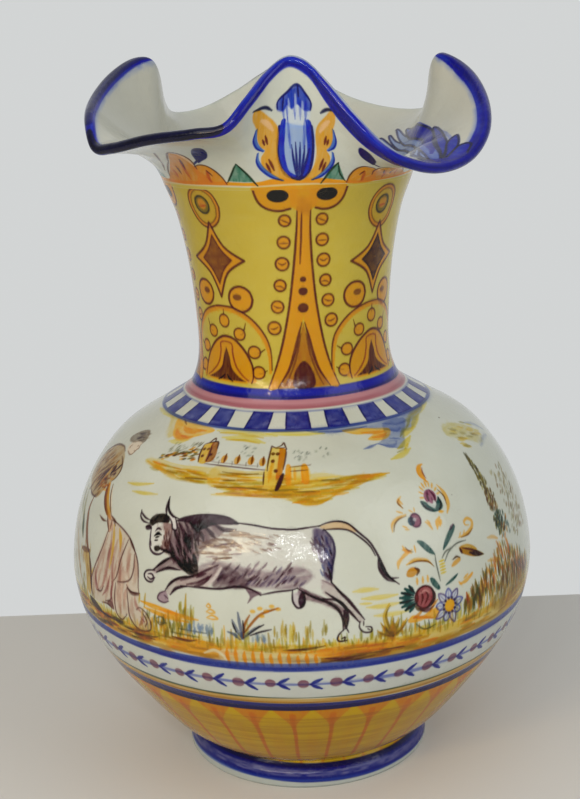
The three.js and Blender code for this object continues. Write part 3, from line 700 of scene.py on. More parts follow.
def paint_ground(skin):
    """Grass and earth all the way round, with a picket fence, tufts and a small plant."""
    skin.band(106.6, 116.5, tone(208, 168, 62), load=0.75, dry=0.55, wave=1.4, grain=(16, 1.2), lean=LEAN)
    skin.band(106.4, 109.6, tone(150, 112, 44), load=0.6, dry=0.8, wave=1.2, grain=(10, 1), lean=LEAN)
    skin.band(112.5, 119, tone(202, 184, 92), load=0.65, dry=0.8, wave=2.2, grain=(12, 1.4), lean=LEAN)
    chance = np.random.default_rng(5)
    earth = (tone(144, 128, 44), tone(202, 152, 38), tone(114, 88, 36), tone(218, 198, 114),
        tone(212, 136, 24), tone(174, 156, 56), tone(206, 170, 60))
    scatter(skin, chance, 520, (0, 111.6), (180, 5), (4, 0.1), earth, load=0.6, widths=(0.8, 2))
    grass = (tone(156, 148, 50), tone(200, 176, 56), tone(124, 124, 50), tone(212, 156, 42),
        tone(188, 178, 80), tone(140, 118, 46))
    for blade in range(BLADES):
        azimuth = FIRST_AZIMUTH + TURN * (blade + chance.random()) / BLADES
        rise = (2 + 9 * chance.random() ** 3) * (0.4 if -58 < azimuth < -40 or 2 < azimuth < 14 else 1.0)
        low = 112 + 6 * chance.random()
        tip = (azimuth + 0.7 * (chance.random() - 0.5), low + 2 + rise)
        skin.stroke([(azimuth, low), tip], 0.8 + 0.8 * chance.random(),
            grass[int(chance.integers(len(grass)))], load=0.62, dry=0.5)
    # darker turf under the figure at the left and behind the fence
    scatter(skin, chance, 90, (-62, 112.4), (22, 4), (3, 0.2), (tone(112, 104, 40), tone(88, 84, 40),
        tone(176, 120, 36)), load=0.7, widths=(1.2, 2.4))
    scatter(skin, chance, 60, (-33, 120), (7, 5), (0.1, 4), (tone(126, 120, 44), tone(176, 154, 48),
        tone(206, 150, 40), tone(104, 104, 64)), load=0.65, widths=(0.9, 1.8))
    scatter(skin, chance, 26, (-27.4, 126), (2.2, 6), (0.1, 5), (tone(168, 154, 56), tone(132, 128, 60)),
        load=0.6, widths=(0.8, 1.5))
    # earth under the bull
    skin.wash([(-33, 112.5), (-28, 117.5), (-22, 116.8), (-18, 113), (-17, 106.8), (-24, 107), (-30, 109)],
        tone(212, 156, 58), load=0.7, dry=0.6, grain=(12, 1.2))
    skin.wash([(3, 114.5), (8, 115.8), (14, 115.2), (22, 112.6), (22, 110.4), (12, 110.4), (3, 111)],
        tone(216, 160, 62), load=0.8, dry=0.5, grain=(12, 1.2))
    scatter(skin, chance, 40, (8, 111.4), (14, 2.6), (5, 0.3), (tone(196, 132, 28), tone(222, 188, 104),
        tone(176, 146, 46)), load=0.65, widths=(0.9, 1.8))
    skin.wash([(-4, 110), (4, 109.6), (14, 110.2), (19, 108.4), (14, 106.4), (2, 106.2), (-4, 107)],
        tone(128, 96, 40), load=0.7, dry=0.7, grain=(9, 1.0))
    skin.strokes_of(tone(80, 56, 28), [0.8, 1.5, 0.8], ([(-31, 116.4), (-27, 115.6), (-24.6, 116.8)],
        [(5, 107.4), (10, 106.8), (15, 107.8)], [(-5, 114.6), (0, 115), (4, 116.4)], [(4, 109), (8, 108.2),
        (13, 109)], [(-44, 111.6), (-38, 112.4), (-35, 113.8)], [(-39, 111), (-36, 111.8)],
        [(-60, 115), (-52, 114.6), (-46, 115.4)], [(-4, 108.4), (2, 107.8)], [(16, 110.6), (22, 109.8)]),
        load=0.75, dry=0.5)
    # picket fence
    skin.wash([(-18.6, 113.4), (-12, 113.4), (-4, 112.6), (2, 111.2), (2, 105.4), (-8, 105.6), (-18.4, 106)],
        tone(208, 202, 170), load=0.75, dry=0.4, blend=0.2, soft=1)
    for bar in range(11):
        foot = -17.6 + 1.95 * bar
        top = 114.6 - 0.3 * bar + 0.9 * math.sin(2.2 * bar)
        skin.stroke([(foot + 0.3, 105.2), (foot, 110), (foot + 0.1, top)], [1.6, 2.1, 1.5],
            tone(216, 146, 42), load=0.92, dry=0.35)
    skin.stroke([(-23, 110), (-20.6, 112.4), (-18.8, 110.4), (-17.8, 106.6)], 1.7, tone(212, 208, 180),
        load=0.85, blend=0.1)
    # rail and posts at the cape's foot
    skin.strokes_of(tone(218, 152, 40), [1.6, 2.6, 1.6], ([(-39.6, 131.4), (-35, 130.4), (-29, 129.4)],
        [(-38.6, 128.6), (-33, 127), (-26.4, 126)], [(-34, 129.8), (-29, 128.6), (-24, 128)]), load=0.85,
        dry=0.5)
    for azimuth, low, high in ((-38.5, 129, 136), (-35.4, 118, 129), (-33.6, 118, 128), (-31.8, 117, 130),
            (-29.6, 118, 131), (-27.3, 119, 140.4), (-25.8, 120, 133), (-40.2, 130, 135)):
        skin.stroke([(azimuth, low), (azimuth + 0.2, high)], 1.3, tone(178, 148, 50), load=0.75, dry=0.5)
    skin.strokes_of(tone(92, 98, 92), 0.9, ([(-35, 124.6), (-33.6, 126), (-32.6, 123.4), (-34, 121.4),
        (-35, 123)], [(-34.6, 122.6), (-32, 123)], [(-29, 121.6), (-22, 121.4)],
        [(-31, 118.8), (-24, 118.6)]), load=0.6)
    scatter(skin, chance, 22, (-24, 121.4), (3.4, 2.4), (0.2, 3.4), (tone(118, 138, 164),
        tone(140, 154, 158)), load=0.65, widths=(1.4, 2.4))
    scatter(skin, chance, 16, (-12.6, 120.4), (4, 2), (0.1, 3), (tone(118, 138, 164), tone(140, 154, 158)),
        load=0.6, widths=(1.3, 2.2))
    # blossom in three tiers
    for azimuth, height, half in ((-21.5, 136.6, 0.5), (-21, 133.8, 1.0), (-20.6, 130.8, 1.3)):
        skin.stroke([(azimuth - half, height - 0.8), (azimuth, height + 0.6), (azimuth + half, height - 0.8),
            (azimuth, height - 1.4), (azimuth - half, height - 0.8)], 0.9, tone(214, 158, 60), load=0.85)
    scatter(skin, chance, 30, (-1, 122), (6, 3), (0.1, 5), (tone(186, 160, 64), tone(146, 134, 60)), load=0.6,
        widths=(0.8, 1.4))
    # small plant
    skin.strokes_of(tone(98, 106, 124), 1.7, ([(-13.8, 120.4), (-15, 125), (-16, 130)], [(-13.6, 120.4),
        (-14.2, 127), (-14.7, 134)], [(-14.4, 120), (-15.6, 122.4), (-17, 123.6)],
        [(-13.4, 121), (-11.6, 125), (-10, 127.6)]), load=0.8)
    skin.strokes_of(tone(146, 84, 34), 1.3, ([(-13.6, 121), (-13.2, 128), (-12.1, 133)],
        [(-13.2, 124), (-11.4, 129.6), (-9.4, 134), (-5.8, 137)]), load=0.9)
    skin.strokes_of(tone(50, 44, 50), 1.0, ([(-15.2, 124), (-16, 128.6)], [(-12.4, 123), (-10.8, 126),
        (-9, 128.4)], [(-13.4, 124), (-13.6, 130)], [(-12, 122.4), (-10, 124.4), (-7.4, 126)]), load=0.85)
    for azimuth, height in ((-9.8, 136.6), (-9.4, 132.8), (-7.2, 137.8), (-5.8, 136.4), (-8.4, 135.4),
            (-11.4, 135)):
        skin.oval(azimuth, height, 1.4, 0.9, tone(216, 166, 62), load=0.85)
    # sunlit strokes and a leafy tuft behind the bull
    skin.strokes_of(tone(212, 194, 104), [1.4, 2.6, 1.4], ([(10.6, 143), (13, 143.3), (16.4, 142.8)],
        [(12.4, 139), (16, 138.6), (20.8, 138.4)], [(13.4, 134.4), (17, 133.9), (21.4, 134.2)],
        [(12, 136.6), (14.6, 136.2)], [(15, 129.6), (19, 129), (23, 129)]), load=0.8, dry=0.5)
    for tip, bend in (((18.6, 134.6), (17.4, 128)), ((16.4, 125.4), (17.4, 121)), ((20.6, 126.6), (20, 122)),
            ((22.6, 125.4), (21, 120.4)), ((15.8, 121), (17.6, 118)), ((19.2, 128), (19, 123))):
        skin.stroke([(19, 116), bend, tip], [3, 2.4, 1.0], tone(186, 150, 44), load=0.85, dry=0.5)
        skin.stroke([(19.2, 117), (bend[0] + 0.3, bend[1]), (tip[0] + 0.2, tip[1] - 1)], [1.4, 1.1, 0.8],
            tone(112, 96, 34), load=0.7, dry=0.5)
    scatter(skin, chance, 24, (19, 119), (3, 2.6), (0.1, 3), (tone(132, 122, 44), tone(200, 150, 40)),
        load=0.6, widths=(1, 1.8))


def paint_bull(skin):
    """A dark bull at full stretch, seen from its left side, running towards the cape."""
    hide = tone(104, 80, 90)
    body = [(-34, 160), (-34.2, 168), (-33, 173), (-30, 176.4), (-25, 178.8), (-19.5, 178.6), (-15.5, 175.6),
        (-8, 174.6), (0, 174.2), (4, 174.4), (6.4, 170.6), (7.2, 164), (6.6, 156), (6, 148), (2, 146),
        (-2, 146.6), (-8, 146), (-14, 147.4), (-20, 146), (-25, 147.6), (-28, 151), (-31, 156)]
    skin.wash(body, tone(206, 204, 196), load=0.65, dry=0.4, angle=-10, soft=1.2, pool=0)
    skin.wash([(-34, 161), (-33.6, 170), (-30, 175), (-23, 176), (-19, 173), (-21, 168), (-24, 162),
        (-25, 155), (-28, 151.6), (-31, 156)], tone(92, 68, 74), load=0.7, dry=0.6, angle=-55, grain=(7, 1.1),
        soft=1.6, pool=0)
    skin.wash([(-26, 152), (-21, 158.5), (-14, 156.5), (-7, 155), (-1, 157), (2, 152), (-2, 146.8),
        (-10, 146.6), (-18, 147.6), (-24, 147.4)], hide, load=0.5, dry=0.7, angle=12, grain=(8, 1.1), soft=2,
        pool=0)
    skin.wash([(2.6, 173.6), (5.6, 172.4), (7.2, 166), (6.8, 157), (6, 150), (4.6, 151), (4.4, 160),
        (2.8, 166)], tone(84, 74, 98), load=0.8, dry=0.6, angle=80, grain=(6, 0.9), soft=1.6, pool=0)
    mane = [(-32.4, 174.2), (-30.4, 176.6), (-26, 178.8), (-21.6, 179.4), (-18, 178.6), (-15.4, 176),
        (-17.6, 175.4), (-21.6, 174.8), (-24.4, 172.4), (-26, 171), (-27.6, 173.4), (-30, 174.4)]
    skin.wash(mane, DARK_PURPLE, load=0.95, blend=0.3, dry=0.3, angle=20, grain=(6, 0.8))
    # hatching on the neck, the flank, the belly and the rump
    for line in ([(-31.6, 174), (-29, 168), (-27.4, 161)], [(-30, 174.6), (-27.6, 169), (-26.4, 163)],
            [(-32.6, 171), (-30.4, 165), (-29, 158.6)], [(-28.4, 174.4), (-26, 169.6), (-25, 165)],
            [(-33.4, 166), (-31.4, 160), (-29, 155)], [(-33.6, 162), (-31, 157.4), (-28.6, 153.4)],
            [(-26.6, 173), (-24.6, 169.6), (-23.8, 167)], [(-31, 163), (-29, 158), (-27, 154)],
            [(-24.6, 174), (-22, 170.6), (-21, 169)], [(-22, 175), (-19, 173), (-16, 173.4)],
            [(-29.6, 171), (-28, 166.4), (-26.6, 160)]):
        skin.stroke(line, [1.2, 2.4, 1.4], DARK_PURPLE, load=0.7, dry=0.5)
    for line in ([(-28.4, 157), (-26.2, 153), (-24.6, 151.4)], [(-29.6, 155.6), (-27, 152), (-25.4, 150.6)],
            [(-26, 160), (-25.2, 155.6), (-24.6, 152.4)], [(-30.4, 157.4), (-28.6, 154), (-26.4, 152.6)],
            [(-27, 158), (-26, 154.4)]):
        skin.stroke(line, 2.8, BLACK, load=0.8, dry=0.4)
    for line in ([(-26, 161), (-23, 162), (-19.4, 161.4)], [(-24.6, 163.4), (-22, 165.4), (-18, 165)],
            [(-20, 170.4), (-14, 171), (-8, 170)], [(-17.6, 172.4), (-12.6, 171.8)], [(-24, 166), (-21, 168),
            (-17.6, 168.6)]):
        skin.stroke(line, 1.6, tone(116, 82, 60), load=0.5, dry=0.7)
    chance = np.random.default_rng(3)
    shadow, haze, light = tone(70, 46, 54), tone(96, 84, 110), tone(206, 196, 190)
    scatter(skin, chance, 34, (-12, 152), (9, 5), (1.1, 3), (shadow, haze, hide), 0.6)
    scatter(skin, chance, 20, (-10, 149), (9, 2), (1.3, 2.6), (shadow, haze), 0.7)
    scatter(skin, chance, 54, (-16, 168), (10, 4), (1.5, -0.9), (tone(124, 96, 78), tone(128, 108, 104),
        tone(104, 78, 70)), 0.4)
    scatter(skin, chance, 18, (-20, 163), (4, 4), (2.4, 0.6), (tone(104, 74, 60), hide), 0.55)
    scatter(skin, chance, 26, (-29, 165), (3.2, 7), (1.0, -4), (shadow, BLACK), 0.6)
    scatter(skin, chance, 22, (-29.6, 166), (3, 7), (0.9, -4), (tone(164, 146, 148),), 0.6)
    scatter(skin, chance, 24, (4.9, 162), (1.5, 10), (0.5, -3.2), (shadow, haze, tone(84, 92, 132)), 0.7)
    scatter(skin, chance, 9, (2.6, 168), (1.2, 4), (0.7, -2.6), (shadow, hide), 0.5)
    # the near foreleg's shoulder, pale over the dark chest
    skin.wash([(-30, 145.6), (-27.1, 149.1), (-23.9, 153.1), (-20.7, 156.4), (-18.9, 157), (-19.2, 153.8),
        (-20.7, 148.5), (-22.1, 145.3), (-25.7, 144.6), (-28.9, 144.4)], tone(190, 178, 170), load=0.9,
        dry=0.4, angle=50)
    skin.wash([(-20.6, 146), (-19.6, 151), (-17.8, 156.4), (-15, 154), (-12.6, 150.6), (-12.8, 146.4),
        (-17, 145.6)], shadow, load=0.55, dry=0.6, angle=40, soft=1.4, pool=0)
    scatter(skin, chance, 30, (-9, 153), (10, 5), (0.7, 2.0), (light,), 0.6)
    scatter(skin, chance, 12, (-15, 151), (4, 4), (0.8, 2.0), (tone(150, 130, 132),), 0.5)
    skin.strokes_of(shadow, 1.4, ([(-28.6, 146.8), (-25, 150.4), (-21.4, 154.6), (-19.6, 156.6)],
        [(-27, 145.4), (-24, 147.4), (-21.8, 150.6)], [(-25, 145.2), (-22.8, 147.2), (-21, 151.6)],
        [(-24.6, 149.6), (-22.4, 152)]), load=0.8)
    skin.stroke([(-22.6, 145.8), (-20.4, 149.8), (-18.8, 155.4)], 1.6, light, load=0.9, blend=0)
    # outline of the back, belly and rump
    skin.stroke([(-16.6, 176.4), (-12, 175.8), (-7, 174.4), (-2, 173.9), (2, 174.6), (4.4, 175)], 0.9,
        DARK_PURPLE, load=0.95)
    skin.stroke([(-28.6, 144.2), (-24, 144.8), (-19, 145.2), (-15.4, 146.9), (-12.6, 146.6), (-10.6, 144.8),
        (-9.6, 143.2)], 1.1, DARK_PURPLE, load=0.9)
    skin.wash([(-13, 146.8), (-9.4, 144.4), (-11, 142.4), (-12.5, 139), (-12, 142.6)], PURPLE, load=0.8)
    skin.stroke([(-9.6, 143.4), (-6.4, 145), (-3, 145.8), (-1.4, 146.8)], 0.9, DARK_PURPLE, load=0.85)
    skin.stroke([(5.2, 173.4), (6.9, 169), (7.3, 163), (6.4, 156), (6, 148.6)], 1.2, tone(64, 56, 78),
        load=0.85)
    skin.wash([(-0.4, 145.4), (-2.4, 144), (-2.6, 140), (-1.4, 137), (-0.1, 139), (0, 143)],
        tone(190, 180, 184), load=0.8)
    skin.wash([(-0.6, 145), (-1.4, 141), (-1, 137.2), (-0.1, 139), (0, 143)], DARK_PURPLE, load=0.85)
    skin.stroke([(-2.6, 145.6), (-2.6, 140.4), (-1.6, 137), (-0.4, 137.8), (0.1, 141), (-0.2, 144.8)], 1.0,
        DARK_PURPLE, load=0.9)
    # tail
    skin.wash([(4.4, 174.6), (8, 176), (11.4, 174.4), (13, 171.4), (12.4, 171), (10, 172.8), (6, 173.2)],
        tone(206, 166, 116), load=0.7)
    skin.stroke([(4, 174.8), (6, 176), (8.6, 176.4), (11.2, 174.8), (13.4, 170.6), (15.8, 165.4), (17.2, 159),
        (18, 153), (19, 148.4), (21.4, 143.4)], [0.9, 0.9, 1, 1, 1, 1, 1.2, 2, 1.6, 0.8], DARK_PURPLE,
        load=0.95)
    skin.stroke([(5, 173), (8, 173.1), (11, 172), (13.4, 168.6), (15.6, 163.8), (16.6, 159)], 0.9,
        DARK_PURPLE, load=0.85)
    skin.wash([(17.2, 157.6), (18.2, 152.6), (19.6, 147.6), (20.6, 144.8), (18.6, 146.2), (17.4, 149.4),
        (16.8, 153)], DARK_PURPLE, load=0.9, dry=0.4, angle=-60)
    skin.stroke([(18.6, 148.6), (20, 147), (21.4, 146.6)], 0.7, DARK_PURPLE, load=0.8)
    # legs: an outline filled softly, then two dark contours each
    dusk, dawn = tone(104, 76, 84), tone(176, 162, 158)
    for shade, fill, contours in ((dusk, [(-30, 158), (-33, 155.6), (-35.2, 152), (-36.8, 149), (-35.6, 148),
            (-33.4, 151), (-30.6, 152.6), (-28, 152)], ([(-31.6, 157.6), (-33.8, 154.4), (-36.4, 149.4)],
            [(-29, 151.8), (-32.4, 151.6), (-35.4, 148.4)])), (dawn, [(-26, 150), (-29, 148), (-31, 145),
            (-32.6, 140.6), (-31.2, 138.6), (-29.8, 142), (-27, 144.2), (-24, 145)],
            ([(-25.6, 149.8), (-29, 147.8), (-31.2, 144.8), (-32.6, 140.4)], [(-27, 144.3), (-29.6, 142.6),
            (-31.2, 138.6)])), (dusk, [(-1, 147), (2, 143.4), (5, 140.4), (7.4, 137), (8.8, 133), (9, 126),
            (8, 126), (7.8, 131), (6.4, 135), (3, 139), (-1, 142)], ([(-1.6, 146.8), (1.6, 142.4), (5, 139),
            (7, 135.4), (8, 130), (8, 124)], [(4, 141), (7, 139.6), (8.6, 136), (9.2, 130), (8.7, 124.6)])),
            (dawn, [(4, 150), (6.4, 147), (8.6, 141.6), (11, 134.6), (12.6, 128.6), (11.6, 127), (9.6, 132),
            (7, 138.4), (4, 144)], ([(6, 149), (7.6, 144), (9.4, 139.4), (11.4, 133), (12.8, 128.4)],
            [(4.6, 144), (7.4, 139), (9.6, 133.4), (11.6, 127.4)]))):
        skin.wash(fill, shade, load=0.7, dry=0.6, angle=50, soft=1)
        skin.stroke(fill[:3], 1.2, hide, load=0.5, dry=0.5)
        for line in contours:
            skin.stroke(line, [1, 1.7, 1], DARK_PURPLE, load=0.9)
    skin.stroke([(8.4, 134), (8.6, 129), (8.5, 125)], 2.0, DARK_PURPLE, load=0.8)
    # hoofs
    skin.wash([(-35.8, 149), (-38.2, 148), (-38.9, 145.4), (-38, 143.2), (-36.4, 143.4), (-35.6, 146)],
        tone(216, 208, 204), load=0.6)
    skin.strokes_of(DARK_PURPLE, 1.0, ([(-36, 149.2), (-38.2, 148.2), (-39, 145.6), (-38.2, 143.2),
        (-36.6, 143), (-35.8, 145.6)], [(-37.8, 146.6), (-36.8, 147), (-36.2, 145.4), (-37, 144.2),
        (-37.9, 145)]), load=0.9)
    skin.wash([(-32.6, 140), (-34.4, 137.4), (-34.6, 134.6), (-32.6, 133.8), (-31.6, 136)],
        tone(150, 124, 138), load=0.8)
    skin.strokes_of(tone(84, 62, 74), 0.9, ([(-32.6, 140), (-34.2, 138), (-34.6, 135), (-33, 133.8),
        (-31.6, 135)], [(-32.8, 137.8), (-31.8, 136.4)]), load=0.8)
    skin.strokes_of(DARK_PURPLE, 0.9, ([(8.3, 124.6), (7.2, 122.4), (6.7, 119.8), (7.2, 118.2), (8.8, 118.4)],
        [(7.6, 119.6), (8.4, 120.2), (8.2, 118.8)], [(8.8, 125), (9.2, 122.6)], [(11.8, 127.8), (11.6, 124.6),
        (12.6, 121.8), (14.2, 121.6), (14.2, 124), (13, 124.6)], [(12.6, 127.6), (12.5, 125.4)],
        [(13.4, 123.4), (13.9, 122.6)]), load=0.9)
    # head
    skin.wash([(-39.4, 172), (-34, 172.6), (-33.4, 166), (-34.2, 160.6), (-36.4, 157.2), (-38.4, 158.6),
        (-39.2, 164)], tone(214, 212, 204), load=0.92, blend=0, dry=0.15)
    skin.wash([(-36.2, 172), (-34.4, 172.6), (-33, 171), (-32.8, 164), (-33.2, 159), (-34.6, 159.4),
        (-35, 163), (-34.8, 167.6)], tone(128, 98, 92), load=0.8, dry=0.55, angle=80)
    scatter(skin, chance, 26, (-34.4, 165.4), (0.9, 5), (0.3, -1.8), (shadow, tone(150, 124, 112),
        tone(92, 64, 60)), load=0.6, widths=(0.7, 1.2))
    scatter(skin, chance, 14, (-37, 170.2), (1.6, 1.4), (0.2, -1.2), (tone(150, 134, 124),), load=0.5,
        widths=(0.6, 1.0))
    skin.wash([(-40.4, 170.6), (-40.2, 173.3), (-38.6, 175.4), (-36.4, 176.3), (-34.8, 175.4), (-34.4, 173),
        (-35.6, 172.4), (-37.1, 172), (-38.4, 171), (-39.2, 169.8)], BLACK, load=0.95, dry=0.35,
        grain=(3, 0.8))
    scatter(skin, chance, 16, (-37.4, 173.8), (2.2, 1.2), (0.5, 0.7), (tone(104, 92, 96), BLACK), load=0.7,
        widths=(0.6, 1.0))
    # ears
    skin.wash([(-34.6, 175.2), (-33.6, 176.2), (-32.4, 174), (-31.6, 170.6), (-32.6, 170.1), (-33.4, 172.6)],
        tone(216, 212, 206), load=0.95, blend=0, dry=0.1)
    skin.stroke([(-34.8, 175.4), (-33.5, 172.8), (-32.9, 170.4), (-31.7, 170.2), (-31.9, 172.4),
        (-33, 175.8)], 0.9, DARK_PURPLE, load=0.9)
    skin.wash([(-40.2, 170), (-41.4, 168.6), (-40.6, 167.2), (-39.2, 168.4)], DARK_PURPLE, load=0.95)
    skin.strokes_of(DARK_PURPLE, [0.7, 1.3, 0.8], ([(-40.4, 170.4), (-42.6, 170.8), (-44, 172.6),
        (-44.4, 175.4)], [(-40.2, 172), (-42, 172.4), (-43.8, 174), (-44.4, 175.4)],
        [(-35.4, 175), (-36.4, 178.6), (-36.6, 184)], [(-33.6, 175.4), (-35.6, 178.4), (-36.6, 184)],
        [(-36.3, 180.6), (-35.2, 178), (-33.6, 176), (-31.8, 175.4)], [(-39.4, 169.4), (-39, 164),
        (-38.4, 159.4), (-37, 157.3), (-35.4, 157.4), (-34.2, 159), (-33.4, 160.6)], [(-37.9, 167.6),
        (-37.2, 169.2), (-36.2, 169)], [(-38.6, 162.6), (-38.2, 160.6)]), load=0.85)
    skin.strokes_of(BLACK, [1.2, 1.9, 1.0], ([(-37.8, 165.4), (-36.9, 166.9), (-35.8, 166.5)],
        [(-37.3, 164.8), (-36.4, 165.6)], [(-37.4, 163.4), (-36.6, 163.8)]), load=0.95)
    skin.wash([(-37.2, 160.4), (-36, 161.4), (-35.2, 160.2), (-35.8, 158.8), (-36.8, 158.6)], BLACK, load=0.9)
    skin.stroke([(-35, 160), (-33.6, 159.6), (-32, 158.8)], 1.5, DARK_PURPLE, load=0.9)


def paint_cape(skin):
    """A dusty pink cape held out low, hanging in folds to the ground."""
    outline = [(-54.6, 164), (-51.6, 165.2), (-48, 163), (-45.4, 160.6), (-43.4, 157), (-41.8, 152),
        (-40.9, 146), (-40.5, 139), (-40.2, 135), (-40.6, 130), (-38.8, 127), (-37, 122), (-37, 117),
        (-39.4, 114.8), (-41.6, 115.8), (-43.4, 119), (-44.4, 121.4), (-46.4, 117), (-48.4, 119),
        (-50, 121.6), (-54, 121.2), (-58, 120.6), (-60.4, 126), (-59.8, 134), (-58.4, 141), (-57, 148),
        (-55.8, 156)]
    chance = np.random.default_rng(21)
    skin.wash(outline, tone(202, 188, 170), load=0.92, dry=0.35, angle=85, grain=(20, 1.6), soft=0.9)
    mauve, wine = tone(164, 122, 112), tone(134, 80, 80)
    scatter(skin, chance, 46, (-50, 146), (6, 12), (-0.5, -9), (tone(182, 156, 140), tone(214, 202, 184),
        tone(172, 140, 126)), load=0.5, widths=(1, 2.4))
    scatter(skin, chance, 26, (-45, 133), (3.6, 13), (0.1, -7), (tone(186, 164, 146), tone(218, 208, 190)),
        load=0.5, widths=(1, 2.4))
    skin.strokes_of(tone(178, 148, 132), [1.5, 3, 2], ([(-47.6, 160), (-47.8, 150), (-47, 139)],
        [(-44.8, 157), (-44.6, 148), (-43.8, 141)], [(-50, 158), (-50.6, 148), (-50, 137)],
        [(-54.4, 158), (-55.6, 147), (-57.2, 136)], [(-42.6, 153), (-41.8, 146), (-41.6, 140)],
        [(-46.4, 134), (-46.8, 127), (-46.4, 121)], [(-42.4, 132), (-42.6, 125), (-41.6, 119)],
        [(-58, 138), (-58.6, 131), (-58, 124)], [(-52.6, 140), (-52, 131), (-52.6, 124)]), load=0.55,
        dry=0.55)
    skin.strokes_of(mauve, [1, 2.4, 1.4], ([(-53.3, 162), (-52.2, 152), (-52.4, 143), (-53.6, 133),
        (-56, 127)], [(-50.4, 149), (-50.2, 140), (-50, 132), (-50.6, 124)], [(-56.8, 142), (-57.6, 135),
        (-57.2, 128), (-55, 126.6)], [(-41.6, 133), (-41.2, 128.4), (-39.6, 125.4)],
        [(-38.6, 124), (-39.4, 120), (-40.4, 117.4)]), load=0.7, dry=0.45)
    skin.strokes_of(wine, [0.8, 1.9, 1], ([(-51.2, 138), (-52, 131), (-54, 125.6)],
        [(-49.8, 136), (-50.2, 129), (-49.4, 122)], [(-57.8, 137), (-57.2, 131), (-55.6, 126.4)],
        [(-56.6, 148), (-57.2, 142)], [(-39.8, 122.6), (-38.6, 120.4)], [(-52.6, 152), (-52.8, 146)]),
        load=0.65, dry=0.4)
    skin.strokes_of(tone(200, 164, 60), [1.4, 2.6, 1], ([(-53, 164), (-51.8, 158), (-51.2, 150),
        (-51.6, 142)], [(-50.4, 163.4), (-49, 159), (-48.2, 153)], [(-59.4, 137), (-60.6, 130)]), load=0.75,
        dry=0.4)
    line = tone(92, 66, 64)
    skin.strokes_of(line, 0.9, ([(-55, 165.6), (-52, 165.4), (-48.6, 163.6), (-45.6, 160.8), (-43.2, 156),
        (-41.6, 151), (-40.9, 145), (-40.6, 138), (-40.2, 135)], [(-44.6, 137.4), (-43, 134.6),
        (-40.2, 135.2)], [(-48, 137), (-45.4, 138.4), (-43.4, 141), (-42.6, 147), (-43, 154)],
        [(-44.4, 135.6), (-43.8, 128), (-43.4, 121), (-41.6, 116), (-39.2, 114.9), (-37, 116.8),
        (-36.8, 121.6), (-38.2, 126), (-40, 127.6), (-41, 125.8)], [(-48.6, 136), (-48.8, 127),
        (-48.2, 119.4), (-46.4, 117.1), (-45, 119.4), (-44.3, 121.4)], [(-46, 160), (-47.4, 150),
        (-48.2, 141), (-49.4, 136.6)], [(-50.4, 121.6), (-52.4, 122.2), (-54.4, 121.2)],
        [(-54.8, 161), (-56, 150), (-58.6, 138), (-60, 129), (-59, 122)], [(-38.9, 124.8), (-37.8, 121),
        (-38.6, 117.6)], [(-53.6, 131), (-54.8, 127.4), (-57, 126.6)], [(-52.8, 123.2), (-51, 124.6),
        (-50, 127)]), load=0.8)
    skin.stroke([(-45.6, 160.8), (-43.2, 156)], 1.8, line, load=0.7)
    skin.stroke([(-44.2, 135.8), (-42.6, 134), (-40.4, 134.4)], 2.0, line, load=0.7)
    skin.wash([(-50.8, 125), (-49.6, 124), (-49.2, 120.8), (-50.6, 121), (-52, 122.4)], tone(96, 58, 58),
        load=0.8, dry=0.4)


